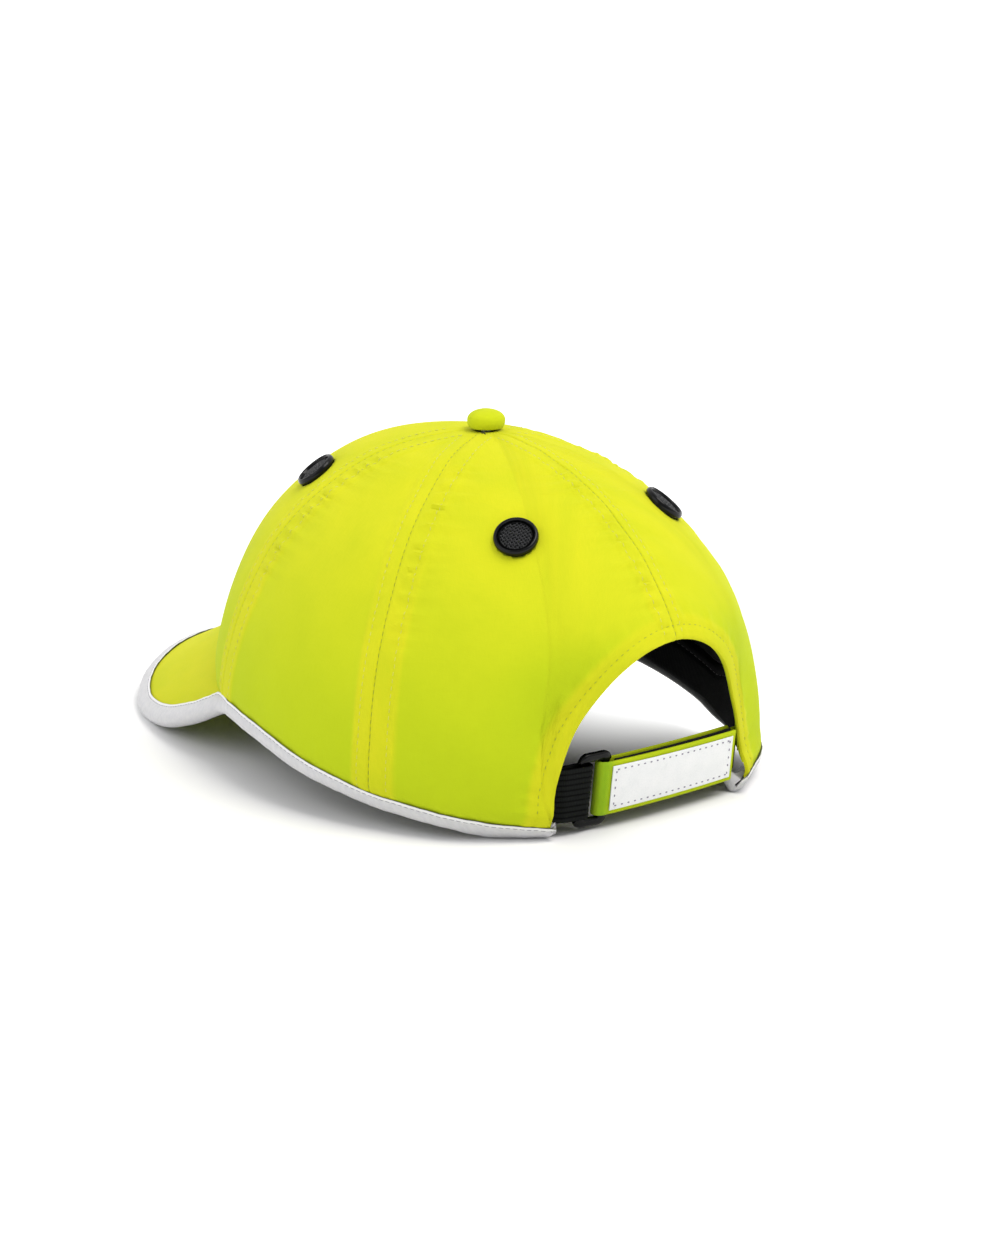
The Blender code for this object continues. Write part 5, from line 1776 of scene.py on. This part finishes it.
def make_world(scene):
    """White all round, but dim towards the camera's side, so glossy black parts stay dark."""
    world = bpy.data.worlds.new("studio")
    world.use_nodes = True
    tree = world.node_tree
    coordinates = tree.nodes.new("ShaderNodeTexCoord")
    across = tree.nodes.new("ShaderNodeVectorMath")
    across.operation = "DOT_PRODUCT"
    across.inputs[1].default_value = direction(CAMERA_AZIMUTH, CAMERA_ELEVATION)
    tree.links.new(coordinates.outputs["Generated"], across.inputs[0])
    fade = tree.nodes.new("ShaderNodeMapRange")
    for number, value in ((1, WORLD_FADE[0]), (2, WORLD_FADE[1]), (3, 1.0), (4, WORLD_DIM)):
        fade.inputs[number].default_value = value
    tree.links.new(across.outputs["Value"], fade.inputs[0])
    tree.links.new(fade.outputs[0], tree.nodes["Background"].inputs["Strength"])
    tree.nodes["Background"].inputs["Color"].default_value = (1.0, 1.0, 1.0, 1.0)
    scene.world = world


def make_floor():
    """A flat white floor that glows a little far out, and beside the cap's raised right edge."""
    nodes = Nodes("floor", 0.85, Specular_IOR_Level=0.1)
    place = nodes.place()
    grain = nodes.noise(place, 40.0)
    nodes.colour(nodes.blend(grain, (0.87, 0.87, 0.87, 1.0), (0.89, 0.89, 0.89, 1.0)))

    def reach(spot):
        centre = tuple(to_frame(spot))
        return nodes.add("VectorMath", (0, place), (1, centre), operation="DISTANCE").outputs["Value"]

    # Painted light: a pool of glow on the floor round this spot, under and beside the cap's raised right
    # edge, lightens the floor where the cap shades it.
    links = ((0, reach(GLOW_SPOT)), (1, 0.0), (2, GLOW_RADIUS * MM), (3, GLOW_POWER), (4, 0.0))
    near = nodes.add("MapRange", *links, interpolation_type="SMOOTHSTEP")
    links = ((1, FAR_GLOW_FROM * MM), (2, FAR_GLOW_TO * MM), (3, 0.0), (4, FAR_GLOW_POWER))
    far = nodes.add("MapRange", (0, reach((0.0, 0.0, 0.0))), *links)
    glow = nodes.math("ADD", near.outputs[0], far.outputs[0])
    nodes.shader.inputs["Emission Color"].default_value = (1.0, 1.0, 1.0, 1.0)
    nodes.tree.links.new(glow, nodes.shader.inputs["Emission Strength"])
    skin = Skin()
    side = steps(-FLOOR_REACH, FLOOR_REACH, 8)
    skin.grid(np.stack(np.meshgrid(side, side) + [np.zeros((9, 9))], axis=-1))
    skin.build("floor", nodes.material)


def make_studio():
    scene = bpy.context.scene
    scene.view_settings.view_transform = "Standard"
    make_world(scene)
    area_light("key", 19.5, 1.0, CAMERA_AZIMUTH + 62.0, 64.0, 1.7, WARM_WHITE)
    area_light("fill", 10.0, 1.6, CAMERA_AZIMUTH - 50.0, 32.0, 2.0, COOL_WHITE)
    make_floor()


def make_camera():
    data = bpy.data.cameras.new("camera")
    data.lens = CAMERA_LENS
    data.sensor_width = 36.0
    data.shift_x, data.shift_y = CAMERA_SHIFT
    data.clip_end = 50.0
    camera = bpy.data.objects.new("camera", data)
    bpy.context.collection.objects.link(camera)
    target = Vector(to_frame(CAMERA_TARGET))
    camera.location = target + CAMERA_DISTANCE * MM * Vector(direction(CAMERA_AZIMUTH, CAMERA_ELEVATION))
    camera.rotation_euler = (target - camera.location).to_track_quat("-Z", "Y").to_euler()
    bpy.context.scene.camera = camera


make_crown_cloth()
make_seam_stitching()
make_opening_hem()
make_button()
make_binding()
make_peak()
make_seam_tapes()
make_shell()
make_pad("front_cushion", -44.0, 44.0, 0.28, 0.46, "front_pad", (0.25, 0.5, 0.75))
make_pad("side_cushion_left", 72.0, 112.0, 0.2, 0.5, "side_pad_left", (0.5,))
make_pad("side_cushion_right", -112.0, -72.0, 0.2, 0.5, "side_pad_right", (0.5,))
make_pad("rear_cushion", 160.0, 200.0, 0.4, 0.6, "rear_pad", (0.5,))
make_crown_pad()
make_headband()
make_vents()
make_elastic()
make_straps()
make_buckle()
make_studio()
make_camera()
